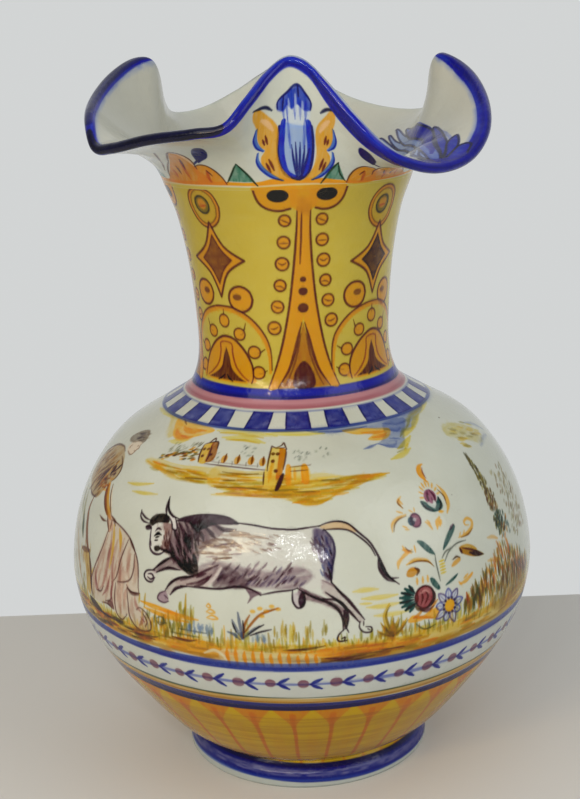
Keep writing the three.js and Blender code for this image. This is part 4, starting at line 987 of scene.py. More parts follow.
def paint_matador(skin):
    """A figure who leans in from the left with the cape: cap, short embroidered jacket, one arm forward."""
    chance = np.random.default_rng(22)
    skin.wash([(-66.6, 199.6), (-66.8, 196.8), (-65, 195.3), (-62.6, 194.9), (-61.2, 195.6), (-60.9, 197),
        (-60.4, 198.4), (-61, 199.6), (-61.2, 200.8), (-63.4, 200.6)], tone(222, 204, 180), load=0.85,
        dry=0.15)
    skin.strokes_of(tone(110, 84, 66), 0.65, ([(-61.2, 200.6), (-61.1, 199.5), (-60.4, 198.4), (-61, 197.9),
        (-60.9, 197.2), (-61.1, 196.6), (-61.4, 195.5), (-62.6, 194.9), (-65, 195.6)], [(-62.2, 199.1),
        (-61.6, 199.1)], [(-61.8, 196.9), (-61.2, 197)], [(-65.4, 198.4), (-65.8, 197.4), (-65.2, 196.8)]),
        load=0.8)
    skin.wash([(-71.4, 200.4), (-69.6, 203.4), (-66, 205.1), (-63, 204.3), (-60.8, 202), (-61.2, 200.8),
        (-63.6, 200.6), (-66.4, 199.2), (-69.6, 198.9)], tone(118, 104, 84), load=0.9, dry=0.5, angle=-15)
    scatter(skin, chance, 22, (-66, 202), (3.6, 1.6), (1.8, 0.9), (tone(72, 58, 56), tone(150, 134, 104),
        tone(96, 80, 72)), load=0.6, widths=(0.7, 1.3))
    jacket = [(-66.6, 194.6), (-70, 195.8), (-76, 194), (-81, 188), (-83.4, 181), (-81, 174.6),
        (-76.6, 172.4), (-72, 169.8), (-67.6, 170.4), (-65.4, 174), (-63.8, 180), (-61.8, 183), (-61.4, 188),
        (-63.6, 192.4)]
    skin.wash(jacket, tone(168, 140, 92), load=0.92, dry=0.45, angle=55, grain=(8, 1.2))
    cloth = (tone(126, 92, 52), tone(198, 168, 112), tone(146, 108, 46), tone(104, 76, 50),
        tone(176, 148, 104))
    scatter(skin, chance, 70, (-72, 187), (6.5, 6), (-2.2, -4), cloth, load=0.6, widths=(0.8, 1.8))
    scatter(skin, chance, 40, (-71, 178), (5, 5), (-1.6, -4), cloth[:4], load=0.6, widths=(0.8, 1.8))
    scatter(skin, chance, 34, (-64.4, 187.4), (1.8, 3.6), (-0.6, -1.4), (tone(84, 52, 56), tone(116, 78, 62),
        tone(70, 46, 52)), load=0.75, widths=(0.9, 1.6))
    scatter(skin, chance, 30, (-66, 180), (3.4, 3.4), (-1.2, -1), (tone(190, 118, 30), tone(112, 66, 36),
        tone(206, 150, 60)), load=0.75, widths=(0.9, 1.6))
    skin.strokes_of(tone(88, 60, 46), [0.7, 1.3, 0.7], ([(-66.4, 194.8), (-70, 196), (-76, 194.2),
        (-81, 188.2), (-83.2, 181)], [(-67.6, 170.4), (-72, 169.8), (-75, 171)], [(-66, 192.6), (-63.4, 191),
        (-61.4, 188), (-61.6, 184), (-63, 181)], [(-68, 186), (-70.4, 181), (-73, 176)],
        [(-71, 191), (-75, 185)], [(-67, 188), (-69.6, 180), (-71.6, 172)]), load=0.75)
    for dot in range(12):
        skin.oval(-65.4 - 0.35 * dot, 190 - 1.15 * dot, 0.8, 0.8, tone(214, 168, 74), load=0.8)
    # forearm, cuff and hand
    skin.stroke([(-63.2, 179.6), (-61.6, 174.6), (-59.4, 170.4), (-57, 167.6), (-55.6, 165.8)],
        [5.5, 5, 4.6, 4, 3], tone(198, 142, 50), load=0.92, dry=0.35)
    skin.stroke([(-63.4, 179), (-62, 174), (-59.8, 170), (-57.2, 167)], [2.4, 2.6, 2.2, 1.4],
        tone(124, 78, 32), load=0.75, dry=0.4)
    skin.stroke([(-60.2, 179), (-58.8, 174.6), (-57, 171), (-55.8, 168.6)], [1.2, 1.6, 1.4, 0.8],
        tone(222, 210, 184), load=0.8, blend=0)
    skin.strokes_of(tone(92, 58, 32), 0.9, ([(-64.2, 179.6), (-62.8, 174.4), (-60.6, 170), (-57.8, 166.6)],
        [(-61.2, 180.6), (-59.8, 176), (-58, 172), (-55.8, 168)]), load=0.85)
    skin.wash([(-57.4, 167), (-55.4, 167.6), (-53.6, 164.6), (-53.4, 161.4), (-54.4, 159.4), (-55.4, 161.6),
        (-56.4, 164)], tone(200, 166, 140), load=0.85, dry=0.2)
    skin.strokes_of(tone(90, 58, 46), [0.7, 1.4, 0.8], ([(-57.4, 166.8), (-56.2, 163.6), (-54.6, 159.8)],
        [(-55.6, 167.6), (-53.6, 166.2), (-52, 165.4)], [(-54.6, 165), (-54.2, 161.6)], [(-61.4, 164.6),
        (-59, 163.6), (-57, 163.8)], [(-53.8, 166.4), (-52.4, 163.8)]), load=0.85)
    # sash, legs and shoe
    skin.strokes_of(tone(128, 124, 74), [2.5, 4, 2.5], ([(-80, 170), (-78, 163), (-75, 158)],
        [(-76, 168), (-74, 161), (-71, 154)], [(-73, 160), (-71, 153), (-69, 148)]), load=0.6, dry=0.5)
    skin.stroke([(-72, 158), (-70.4, 152.6), (-68.6, 147.6)], [2, 4, 1.5], tone(66, 84, 54), load=0.8)
    skin.stroke([(-69, 171), (-69.6, 164), (-68.4, 158.6), (-66.6, 152.6), (-64.6, 146.8), (-62.4, 143)],
        [1.6, 2.4, 3.4, 3.6, 3.4, 2], tone(120, 76, 52), load=0.9, dry=0.4)
    skin.stroke([(-68, 142.4), (-66, 143), (-62.6, 144.4)], 3.2, tone(104, 66, 40), load=0.8)
    skin.wash([(-66.4, 142), (-63, 143), (-61, 136), (-60, 127), (-60.8, 121), (-62.6, 124), (-63.6, 133)],
        tone(188, 152, 72), load=0.85, dry=0.4, angle=80)
    skin.stroke([(-62.4, 143), (-60.8, 136), (-60, 128), (-59.6, 121)], [2, 2.6, 2.4, 1.6], tone(88, 56, 40),
        load=0.85)
    skin.strokes_of(tone(150, 108, 60), 2.2, ([(-76, 152), (-73, 143), (-69, 134)], [(-72, 138), (-68, 129),
        (-65, 121)], [(-80, 160), (-78, 150), (-75, 141)]), load=0.45, dry=0.6)
    scatter(skin, chance, 40, (-69, 140), (7, 14), (1, -5), (tone(150, 108, 60), tone(118, 104, 58),
        tone(190, 160, 96)), load=0.45, widths=(0.9, 1.8))
    skin.wash([(-61, 120), (-58, 119.4), (-55.6, 117), (-54.4, 115), (-57, 115), (-60.4, 117)], DARK_PURPLE,
        load=0.9, dry=0.3)


def paint_spray(skin):
    """A spray of garden flowers: three heads, a daisy, dark leaves and curling buds."""
    tan = tone(214, 164, 78)
    leaf = tone(28, 62, 60)
    # large red head with a green fan and an orange cup
    skin.wash([(22.8, 123), (25, 122), (27.6, 122.6), (30.4, 121.4), (30.6, 127), (28.6, 126.4),
        (26.4, 124.6), (24, 126)], tone(222, 158, 48), load=0.9, dry=0.4, angle=10)
    skin.strokes_of(tone(190, 116, 30), 1.6, ([(28.4, 126), (29.6, 129), (30.6, 131)], [(24.4, 124.6),
        (27, 123.6), (29, 122)], [(26.6, 128), (25.6, 126), (24.2, 124.6)]), load=0.6)
    skin.oval(27.4, 134, 5.6, 5.6, tone(138, 62, 66), load=0.95, dry=0.3, angle=60, grain=(4, 1.0))
    skin.ring(27.4, 134, 5.8, 5.8, 1.0, tone(66, 28, 34), load=0.85)
    for bend in (-3.0, -0.6, 1.8):
        skin.stroke([(26.4 + bend / ARC, 130.4), (27.2 + 1.3 * bend / ARC, 134), (26.8 + bend / ARC, 137.6)],
            [0.6, 1.2, 0.6], tone(86, 36, 42), load=0.75)
    skin.stroke([(25.6, 129), (27.6, 126.8), (29.6, 128.4)], [1, 2, 1], tone(96, 62, 66), load=0.8)
    skin.stroke([(27.6, 128.4), (29.4, 131), (29.8, 134.6), (29.2, 137.6)], [1, 2.6, 2.2, 1],
        tone(74, 34, 34), load=0.7)
    skin.stroke([(26.4, 136.4), (27.6, 137.4), (28.6, 136)], 1.2, tone(200, 150, 140), load=0.7, blend=0)
    skin.stroke([(24.6, 131.6), (25.4, 128.6), (27, 127)], 1.4, BROWN, load=0.7)
    for tooth in range(8):
        turn = math.radians(100 + 22 * tooth)
        start = (25 + 0.5 * math.cos(turn), 134.5 + 3 * math.sin(turn))
        tip = (24.3 + 3.1 * math.cos(turn), 134.8 + 6.6 * math.sin(turn))
        skin.stroke([start, tip], [1.3, 2.6], leaf, load=0.95)
        skin.stroke([start, tip], [0.6, 0.9], (tone(24, 40, 60), tone(120, 150, 140))[tooth % 2], load=0.7)
    for azimuth in (25.8, 27.3, 28.6):
        skin.stroke([(azimuth, 141.4), (azimuth + 0.1, 144.4)], 1.6, tan, load=0.85)
    # daisy
    for petal in range(9):
        turn = 2 * math.pi * (petal + 0.25) / 9
        reach = 9.4 + 1.4 * math.sin(3 * petal)
        c, s = math.cos(turn), math.sin(turn)
        outline = [(33.8 + (along * c - across * s) / ARC, 126 + along * s + across * c) for along,
            across in ((3.2, 0), (6.2, 1.9), (reach, 0), (6.2, -1.9), (3.2, 0))]
        skin.wash(outline, tone(190, 196, 208), load=0.8, dry=0.4)
        skin.stroke(outline, 0.9, (tone(86, 92, 152), tone(96, 84, 120))[petal % 2], load=0.85)
        skin.stroke([outline[0], outline[2]], 0.7, tone(128, 130, 164), load=0.6)
    skin.oval(33.9, 126, 3.3, 3.5, tone(224, 162, 40), dry=0.25)
    for dot in range(11):
        turn = 2 * math.pi * dot / 11
        skin.oval(33.9 + 1.7 * math.cos(turn), 126 + 4.0 * math.sin(turn), 0.8, 0.8, tone(62, 54, 84),
            load=0.9)
    # dark leaves
    for outline, pigment in (([(29.3, 142.8), (30.4, 142), (31.7, 137), (31, 136), (29.6, 139.4)], leaf),
            ([(33.2, 137), (34.6, 139), (37.1, 141), (36.4, 139.2), (34.8, 137.6)], leaf),
            ([(27.5, 162), (29, 161.4), (30.8, 157.4), (31.6, 153.6), (29.8, 155.6), (28.4, 159)], leaf),
            ([(34.1, 154.6), (35.2, 158.8), (37.2, 162.8), (39.2, 164.8), (39.2, 163), (37.4, 159.4),
            (35.6, 156.4)], leaf)):
        skin.wash(outline, pigment, load=0.92, dry=0.45, angle=60, blend=0.4)
    skin.stroke([(37.6, 163), (39, 164.8)], 2.0, tone(84, 52, 72), load=0.7)
    skin.wash([(38.9, 153), (39.6, 153.2), (41.6, 151.4), (44.4, 148.8), (46.6, 145.2), (43.6, 146),
        (41, 148.2), (39.2, 150.6)], tone(160, 108, 30), load=0.95, dry=0.35, angle=-30)
    skin.wash([(39.4, 153.6), (41.6, 153.6), (43.6, 151.6), (44.6, 149), (42.6, 149.6), (40.6, 151.4)],
        tone(186, 140, 48), load=0.9, dry=0.4, angle=-30)
    skin.stroke([(40, 152.4), (42, 150.8), (44.6, 148.4)], [0.6, 1.2, 0.6], tone(84, 56, 24), load=0.8)
    skin.stroke([(39.2, 152.4), (39.5, 150.4)], 2.2, tone(70, 40, 48), load=0.85)
    skin.stroke([(42, 149), (44.4, 147), (46.6, 145.2)], [2.4, 3, 1], tone(56, 50, 30), load=0.8)
    # stems and curls
    skin.strokes_of(tone(70, 74, 66), 0.8, ([(31.6, 153.6), (31.5, 149), (31.9, 140)],
        [(34, 149), (35.6, 153), (38.4, 155.6), (41.6, 155.6)], [(33.4, 151), (34.6, 153.4), (36.4, 154.6)],
        [(24.8, 121), (27, 117), (30, 118)], [(28, 121.6), (28.4, 116.6)]), load=0.7)
    skin.stroke([(39.6, 158), (42.4, 158.4), (44.6, 160.2), (45.4, 163), (44.2, 165.2), (42.8, 164.4),
        (42.9, 162.6), (44, 162)], [1.2, 2, 2, 1.8, 1.7, 1.5, 1.3, 1.0], tan, load=0.9)
    skin.strokes_of(tan, 1.3, ([(40, 158.6), (40.6, 160)], [(41.4, 158.8), (42, 160.2)]), load=0.7)
    for step in range(5):
        skin.stroke([(32.4, 143.6 + 1.5 * step), (33.8, 143.8 + 1.5 * step)], 1.2, tone(206, 180, 60),
            load=0.85)
    skin.wash([(35.6, 145.4), (36.6, 147.6), (38.4, 148.6), (38.6, 147), (37, 145.4)], tone(206, 150, 64),
        load=0.85)
    skin.stroke([(36.4, 148.6), (37.6, 149.4), (38.6, 148.4)], 1.1, tone(84, 66, 50), load=0.8)
    skin.strokes_of(tan, [1.4, 2.2, 1.6], ([(37.4, 135.2), (39.6, 136), (41.6, 138.6)],
        [(38, 134.4), (37.2, 136.4)], [(38.8, 137.4), (40.2, 138.8)], [(40.8, 136.6), (41.8, 138.4)]),
        load=0.85)
    # top head: mauve dome in a green cup, with orange rays and a flame
    skin.oval(35.1, 180, 3.9, 3.9, tone(134, 70, 96), load=0.95, dry=0.3, angle=70)
    skin.strokes_of(tone(84, 38, 66), [0.6, 1.3, 0.6], ([(34.2, 177), (34.3, 180), (35, 183)],
        [(36.2, 177), (36.3, 180), (35.6, 183)], [(35.2, 176.6), (35.4, 179.6)]), load=0.75)
    skin.wash([(31.6, 178.8), (32.2, 175.6), (34.2, 173.2), (36.6, 173), (38, 175), (37.6, 179),
        (36.6, 177.4), (35.2, 176.2), (33.6, 177.4), (32.6, 178.8)], leaf, load=0.93, dry=0.4, blend=0.35)
    skin.wash([(33.6, 176.8), (34.2, 178), (34.9, 176.4), (35.6, 178), (36.2, 176.6), (35.2, 174.6)],
        tone(206, 212, 202), load=0.9, blend=0)
    skin.strokes_of(tone(18, 36, 56), 1.0, ([(32, 178.6), (32.6, 175.8), (34.4, 173.6)], [(37.4, 178.6),
        (37.6, 175.6), (36.4, 173.4)]), load=0.8)
    for ray in range(9):
        turn = math.radians(8 + 20.5 * ray)
        skin.stroke([(35.3 + 2.3 * math.cos(turn), 179.5 + 5.2 * math.sin(turn)),
            (35.3 + 3.3 * math.cos(turn), 179.5 + 7.4 * math.sin(turn))], 1.5, tan, load=0.85)
    skin.stroke([(38.8, 184), (40, 179.6), (39.8, 174.6), (38.4, 170.8)], [1, 2.2, 2.4, 1.4], tan, load=0.9)
    skin.stroke([(38.3, 182), (39.4, 178.6), (39.2, 174.6)], [0.5, 0.9, 0.5], OLIVE, load=0.7)
    skin.stroke([(36, 186.6), (35.2, 190.6), (36, 193.2), (37.6, 194)], [2, 3.2, 2.6, 1.2],
        tone(218, 146, 46), load=0.92)
    skin.stroke([(36.4, 188), (36.2, 190.6), (36.8, 192.6)], [0.6, 1, 0.6], tone(128, 66, 40), load=0.7)
    skin.strokes_of(tone(222, 166, 70), [2.4, 3, 1.4], ([(36.2, 172.4), (37.4, 172)],
        [(35.6, 170), (34.6, 168), (34, 165)], [(35.8, 168.4), (35, 166)]), load=0.85)
    skin.strokes_of(tan, 1.6, ([(31.2, 169.6), (32, 168), (32.6, 165.6)], [(31.8, 170), (32.4, 168.4)]),
        load=0.75)
    # small head to the left, with its curls
    skin.oval(28.6, 171.4, 3.0, 3.4, tone(126, 70, 92), load=0.95, dry=0.35)
    skin.ring(28.6, 171.4, 3.1, 3.5, 0.8, tone(70, 34, 60), load=0.8)
    skin.oval(27.4, 171.4, 2.0, 2.3, tone(44, 72, 88), load=0.9)
    skin.oval(28.4, 171.8, 0.9, 0.9, tone(190, 190, 190), load=0.7, blend=0)
    skin.strokes_of(tan, [1, 1.8, 1.2], ([(21.8, 168.4), (22.2, 171.8), (24, 174), (26.4, 174.8)],
        [(26.6, 183), (25.4, 181), (26, 178)], [(25.6, 182), (26.4, 179.6)], [(24.2, 177), (25.6, 175.8)],
        [(27.6, 176.4), (28.4, 175.4)], [(29.2, 177), (29, 175.4)], [(24.8, 170), (25.8, 169)],
        [(25.2, 168.4), (26.2, 168)]), load=0.8)
    # orange star and bud lower left
    skin.strokes_of(tan, [1.4, 2, 1], ([(23.6, 161), (24.2, 158.6), (25.6, 157)], [(22.4, 155.4), (24, 157),
        (25.8, 158.6)], [(26.6, 160), (26.6, 157)], [(23.4, 159.4), (25, 158.4)], [(21.6, 151), (22, 154),
        (23.4, 155.6)], [(23.8, 152), (26, 153.4), (29, 152), (30.4, 149)]), load=0.85)
    skin.wash([(23.4, 146.6), (24, 149.4), (25.4, 150.2), (26.4, 148), (25, 145.6)], tone(190, 124, 36),
        load=0.9, dry=0.4)
    skin.stroke([(25.8, 149.6), (26.6, 148), (26, 146)], 1.6, tone(84, 56, 34), load=0.8)
    skin.strokes_of(tone(104, 72, 30), [0.5, 0.9, 0.5], ([(24.4, 152), (26.6, 152.6), (29.4, 151.2),
        (30.8, 148)], [(22.2, 168.4), (22.8, 171.4), (24.2, 173.4), (26.4, 174.2)], [(24.2, 160.4),
        (24.8, 158.6), (26, 157.4)], [(25.8, 182), (25.2, 180.4), (26.2, 177.8)], [(40.4, 157.6),
        (42.8, 157.8), (45, 159.8)]), load=0.75)


def paint_trees(skin):
    """A cypress, a round tree and a thicket at the right of the scene."""
    stack = ((189, 1.2), (186, 1.6), (182.6, 2.2), (179, 2.8), (175.6, 3.2), (171.6, 3.6), (167.4, 4.4),
        (163.6, 4), (159, 4.6), (155.6, 4.6), (151.6, 4.2))
    shades = (tone(116, 118, 96), tone(132, 130, 84), tone(104, 104, 76), tone(150, 144, 72),
        tone(126, 122, 78), tone(132, 110, 66), tone(112, 80, 50), tone(150, 118, 80), tone(62, 92, 80),
        tone(52, 84, 74), tone(96, 108, 84))
    chance = np.random.default_rng(8)
    for (height, reach), shade in zip(stack, shades):
        scatter(skin, chance, 10 + int(6 * reach), (56.2, height), (0.5 * reach, 1.9), (0.5, 1.3),
            (shade, tone(92, 84, 52), shade, tone(160, 148, 84)), load=0.8, widths=(1.0, 1.9))
    scatter(skin, chance, 46, (58, 153), (2.4, 6), (0.5, 1.6), (tone(52, 84, 78), tone(104, 96, 60),
        tone(196, 128, 48), tone(84, 104, 96)), load=0.7, widths=(1.1, 2))
    scatter(skin, chance, 150, (67, 160), (5, 18), (0.9, 1.4), (tone(142, 136, 96), tone(112, 108, 72),
        tone(164, 152, 104), tone(120, 92, 56)), load=0.5, widths=(1.4, 2.4))
    warm = (tone(150, 132, 50), tone(200, 138, 36), tone(112, 108, 52), tone(86, 100, 74), tone(206, 164, 66),
        tone(122, 92, 40), tone(176, 92, 34))
    for _ in range(THICKET_BLADES):
        azimuth = 38 + 32 * chance.random()
        top = 121 + 24 * max(0.0, 1 - abs(azimuth - 54) / 17) * chance.random() + 7 * chance.random()
        low = top - 3 - 5 * chance.random()
        skin.stroke([(azimuth, low), (azimuth + 0.8 * (chance.random() - 0.5), top)],
            0.9 + 1.0 * chance.random(), warm[int(chance.integers(len(warm)))], load=0.65, dry=0.5)
    skin.wash([(48, 116), (52, 126), (56, 132), (61, 132), (65, 124), (68, 116), (60, 110), (52, 110)],
        tone(120, 92, 44), load=0.5, dry=0.7, angle=70, grain=(7, 1.4), soft=3, pool=0)
    skin.strokes_of(tone(206, 164, 96), 2.2, ([(49.4, 152), (51.6, 151), (53.4, 149)], [(47.8, 140.6),
        (51, 139.6), (53, 137.6)], [(48.6, 137.6), (50.4, 136)]), load=0.7, dry=0.5)
    skin.strokes_of(tone(196, 122, 60), 2.4, ([(52.6, 148), (53.6, 143), (54.2, 138)],
        [(57, 147), (57.6, 142), (57.2, 137)]), load=0.6, dry=0.5)


SKIN_COLUMNS = 2048
BODY_PITCH = 0.4  # mm between the rows of the body's skin
FOOT_SAMPLES, WALL_SAMPLES = 57, 3000  # heights at which the outline is measured
CLOUD_TINT = np.array([0.0, 0.004, 0.018], np.float32)


def clouds_of(skin, stretch, coarse, fine):
    """Slow unevenness from 0 to 1 over a skin. Each noise is its blobs' width and height, and two shifts."""
    x = np.arange(skin.columns) / skin.columns * TURN * stretch
    y = skin.row_distance[:, None]
    cloud = 0
    for share, (wide, tall, across, up) in ((0.6, coarse), (0.4, fine)):
        cloud = cloud + noise(x / wide + across, y / tall + up) * share
    return cloud[..., None]


def turned_skin():
    """The outside of the turned pot from the foot to the root of the mouth, with its ground glazes."""
    heights = np.concatenate([
        np.linspace(0, FOOT_TOP, FOOT_SAMPLES), np.linspace(FOOT_TOP, MOUTH_SEAM + 0.5, WALL_SAMPLES)[1:]])
    radii = np.where(heights < FOOT_TOP, np.interp(heights, *FOOT_OUTLINE.T), hermite(PROFILE, heights))
    distances = np.concatenate([[0], np.cumsum(np.hypot(np.diff(heights), np.diff(radii)))])
    skin = Skin(SKIN_COLUMNS, BODY_PITCH, heights, distances, radii, WHITE)
    cloud = clouds_of(skin, 1.2, (40, 26, 3, 0), (9, 8, 0, 50))
    skin.colour[:] = WHITE * (1 - 0.05 * cloud) - CLOUD_TINT * cloud
    return skin


def paint_body(skin):
    """Everything on the turned pot. Later paint lies over earlier paint."""
    skin.band(230.2, 338.6, YELLOW, blend=0.1, dry=0.12, grain=(30, 2.5), wave=0.3)
    skin.band(232, 338.6, tone(196, 178, 74), load=0.3, dry=0.9, grain=(12, 1.2))
    paint_scene(skin)
    paint_bands(skin)
    paint_neck(skin)


# ---------------------------------------------------------------------------------------------------------
# The mouth. Its skin is unrolled as one strip: 0 to 100 up the outside from the neck to the lip, the rounded
# lip to 112, then down the inside to 212 at the throat.

RIM_BASE_RADIUS = 66.2
RIM_BASE_LEAN = math.radians(17)
RIM_BASE_PULL = 0.36
RIM_LIP_PULL = 0.42
RIM_THICKNESS = 5.4
ROOT_SHARE = 0.12  # of the wall, over which the round root turns into the ruffle
MOUTH_PITCH = 0.25  # mm between the rows of the mouth's skin
MOUTH_SAMPLES = 600
AROUND_STEP, UP_STEP = 0.5, 0.005  # degrees and share of the wall to each side, for its slopes
# azimuth, lip radius, lip height, slope of the wall at the lip in degrees
RIM = np.array([
    (-180, 80, 396, 88), (-170, 79, 390, 82), (-160, 83, 381, 68), (-148, 91, 372, 45), (-136, 90, 370, 40),
    (-124, 83, 373, 60), (-113, 77, 381, 80), (-102, 73, 394, 88), (-94, 74, 402, 90), (-87, 82, 402, 92),
    (-78, 94, 395, 90), (-68, 107, 384, 72), (-58, 117, 374, 40), (-51, 122, 363, 5), (-44, 123, 363, -4),
    (-34, 119, 367, -3), (-24, 109, 369, 0), (-17, 101, 371, 12), (-12, 91, 382, 45), (-6, 83, 394, 75),
    (1, 79, 401, 84), (8, 80, 398, 82), (15, 82, 387, 68), (22, 86, 373, 42), (29, 91, 360, 12),
    (37, 98, 350, -8), (46, 105, 346, -12), (56, 111, 350, -6), (65, 113, 361, 15), (73, 110, 374, 50),
    (81, 103, 387, 80), (87, 95, 395, 92), (92, 87, 399, 94), (98, 85, 395, 90), (106, 87, 383, 82),
    (116, 95, 373, 60), (128, 104, 367, 36), (142, 106, 367, 32), (155, 101, 373, 42), (168, 88, 386, 72),
])
LIP_START, LIP_END, THROAT = 100, 112, 212
# place on the strip, mm along the wall, mean radius of the wall there
STRIP = np.array([(0, 0, 69), (LIP_START, 62, 96), (LIP_END, 70.5, 92), (THROAT, 128.5, 63)])


def mouth_middle(azimuths, shares):
    """The middle of the wall, as (share, azimuth) places: a cubic Bezier up to the lip at each azimuth."""
    turn = (azimuths - FIRST_AZIMUTH) % TURN + FIRST_AZIMUTH
    radius, height, slope = (hermite(RIM, turn, column, TURN) for column in (1, 2, 3))
    slope = np.radians(slope)
    reach = np.hypot(radius - RIM_BASE_RADIUS, height - MOUTH_SEAM)
    t = shares[:, None]
    knots = (
        (RIM_BASE_RADIUS, MOUTH_SEAM),
        (RIM_BASE_RADIUS + RIM_BASE_PULL * reach * math.sin(RIM_BASE_LEAN),
         MOUTH_SEAM + RIM_BASE_PULL * reach * math.cos(RIM_BASE_LEAN)),
        (radius - RIM_LIP_PULL * reach * np.cos(slope), height - RIM_LIP_PULL * reach * np.sin(slope)),
        (radius, height),
    )
    shares_of = ((1 - t) ** 3, 3 * (1 - t) ** 2 * t, 3 * (1 - t) * t**2, t**3)
    out = sum(share * knot[0] for share, knot in zip(shares_of, knots))
    up = sum(share * knot[1] for share, knot in zip(shares_of, knots))
    angle = np.radians(azimuths)
    return np.stack([out * np.sin(angle), -out * np.cos(angle), up], -1)


def mouth_skin(azimuths, shares, angles):
    """Places and normals on the mouth's skin. Angle 0 is outside, 180 inside, the lip between them."""
    here = mouth_middle(azimuths, shares)
    around = mouth_middle(azimuths + AROUND_STEP, shares) - mouth_middle(azimuths - AROUND_STEP, shares)
    upward = unit(mouth_middle(azimuths, shares + UP_STEP) - mouth_middle(azimuths, shares - UP_STEP))
    outward = unit(np.cross(around, upward))
    turn = np.radians(angles)[:, None, None]
    facing = outward * np.cos(turn) + upward * np.sin(turn)
    return here + RIM_THICKNESS / 2 * facing, facing


def mouth_piece(name, rows_out, rows_lip, rows_in, columns, most):
    """The mouth as a mesh: a strip of skin closed by the two seam faces at its root."""
    azimuths = azimuths_of(columns)
    shares = np.concatenate([np.linspace(0, 1, rows_out), np.ones(rows_lip), np.linspace(1, 0, rows_in)])
    angles = np.concatenate([np.zeros(rows_out), np.linspace(0, 180, rows_lip + 2)[1:-1],
        np.full(rows_in, 180)])
    places, normals = mouth_skin(azimuths, shares, angles)
    settle = np.clip(shares / ROOT_SHARE, 0, 1)[:, None, None]
    settle = settle * settle * (3 - 2 * settle)
    angle = np.radians(azimuths)
    outside = hermite(PROFILE, MOUTH_SEAM)
    root = np.where(angles < 90, outside, 2 * RIM_BASE_RADIUS - outside)[:, None]
    level = np.stack([root * np.sin(angle), -root * np.cos(angle), np.full((len(shares), columns),
        MOUTH_SEAM)], -1)
    start = mouth_middle(azimuths, np.zeros(1))
    offset = (level - start) * (1 - settle) + (places - mouth_middle(azimuths, shares)) * settle
    places = mouth_middle(azimuths, shares) + offset
    strip = np.concatenate([
        np.linspace(0, LIP_START, rows_out), np.linspace(LIP_START, LIP_END, rows_lip + 2)[1:-1],
        np.linspace(LIP_END, THROAT, rows_in)])
    colours = MOUTH.read(np.interp(strip, MOUTH.heights, MOUTH.distances), columns)
    return build_piece(name, places, normals, colours.astype(np.float32), most)


def mouth_skin_strip():
    """The unrolled mouth with its white ground."""
    distances = np.linspace(0, STRIP[-1, 1], MOUTH_SAMPLES)
    places, radii = (np.interp(distances, STRIP[:, 1], STRIP[:, column]) for column in (0, 2))
    skin = Skin(SKIN_COLUMNS, MOUTH_PITCH, places, distances, radii, WHITE)
    skin.colour[:] = WHITE * (1 - 0.06 * clouds_of(skin, 1.5, (30, 22, 60, 0), (8, 7, 0, 90)))
    return skin


# azimuth, then where the lip's cobalt starts and ends on the strip
LIP_BAND = np.array([(-180, 96, 106), (-150, 96, 105), (-125, 97, 106), (-112, 98, 106), (-98, 99, 107),
    (-90, 99, 112), (-80, 99, 115), (-68, 99, 115), (-58, 100, 113), (-48, 101, 112), (-30, 102, 112),
    (-19, 101, 111), (-13, 99, 109), (-5, 97, 106), (2, 96, 103.5), (9, 94, 104), (15, 90, 105),
    (24, 88, 106.5), (33, 87, 108), (41, 86, 112), (50, 90, 117), (60, 96, 119), (68, 99, 118),
    (78, 100, 118), (86, 100, 118), (92, 100, 112), (97, 99, 106), (110, 97, 106), (145, 96, 105)])


def paint_mouth(skin):
    """A cobalt lip, tulips on the peaks, orange leaves under the valleys, a palmette in the right valley."""
    skin.band(113, 214, tone(208, 206, 192), load=0.6, blend=0, dry=0.2, soft=8)
    skin.band(-1, 4.0, YELLOW, blend=0.1, dry=0.1, wave=0.3)
    for centre in (4.7, 98, 187, 274):
        for side in (1, -1):
            skin.oval(centre + side * 11.2, -2, 12, 7, ORANGE, blend=0.2, dry=0.3)
        skin.oval(centre, -1, 9, 7, ORANGE, blend=0, dry=0.3)
    skin.band(4.6, 10, tone(222, 152, 36), blend=0.1, dry=0.25, wave=0.8)
    skin.band(3.6, 4.8, WHITE, blend=0, load=0.7, wave=0.3, soft=1)
    for centre, across in ((4.2, 1), (98, 1.05), (187, 1), (274, 1)):
        paint_tulip(skin, centre, across)
    for centre, side, rise in ((-43, 1, 0), (41.5, -1, 22), (143, 1, 4), (231, -1, 10)):
        paint_leaves(skin, centre, side, rise)
    turns = azimuths_of(skin.columns)
    low, high = (hermite(LIP_BAND, turns, column, TURN) for column in (1, 2))
    skin.band(high - 1, high + 2.6, tone(128, 146, 204), load=0.7, dry=0.9, wave=1.6, grain=(3, 2), soft=2.0)
    skin.band(low, high, tone(34, 42, 164), blend=0.1, dry=0.3, wave=0.8, grain=(5, 1.2))
    skin.band(low + 2, high - 3, DEEP_BLUE, load=0.5, dry=0.9, wave=1, grain=(6, 1))
    skin.band(high - 4, high - 1, tone(82, 100, 200), load=0.6, dry=0.95, wave=1, grain=(4, 1))
    # painted shade: a dark navy-green stroke on the lip along the left flange, standing in for its shadowed
    # underside
    skin.stroke([(-54, 107.5), (-42, 108), (-30, 108), (-18.5, 107)], [5, 9, 9, 6], tone(24, 44, 66),
        load=0.9, dry=0.3, taper=0.1)
    skin.stroke([(-100, 104), (-88, 107), (-74, 108), (-58, 107.5)], [3, 6, 7, 6], tone(26, 36, 96), load=0.7,
        dry=0.5, taper=0.1)
    for start, end in ((99, 146), (146, 193), (193, 240), (240, 259)):
        skin.stroke([(start, 107.5), ((start + end) / 2, 107.8), (end, 107.5)], 1.6, tone(112, 92, 50),
            load=0.55, dry=0.6, taper=0)
    paint_palmette(skin)


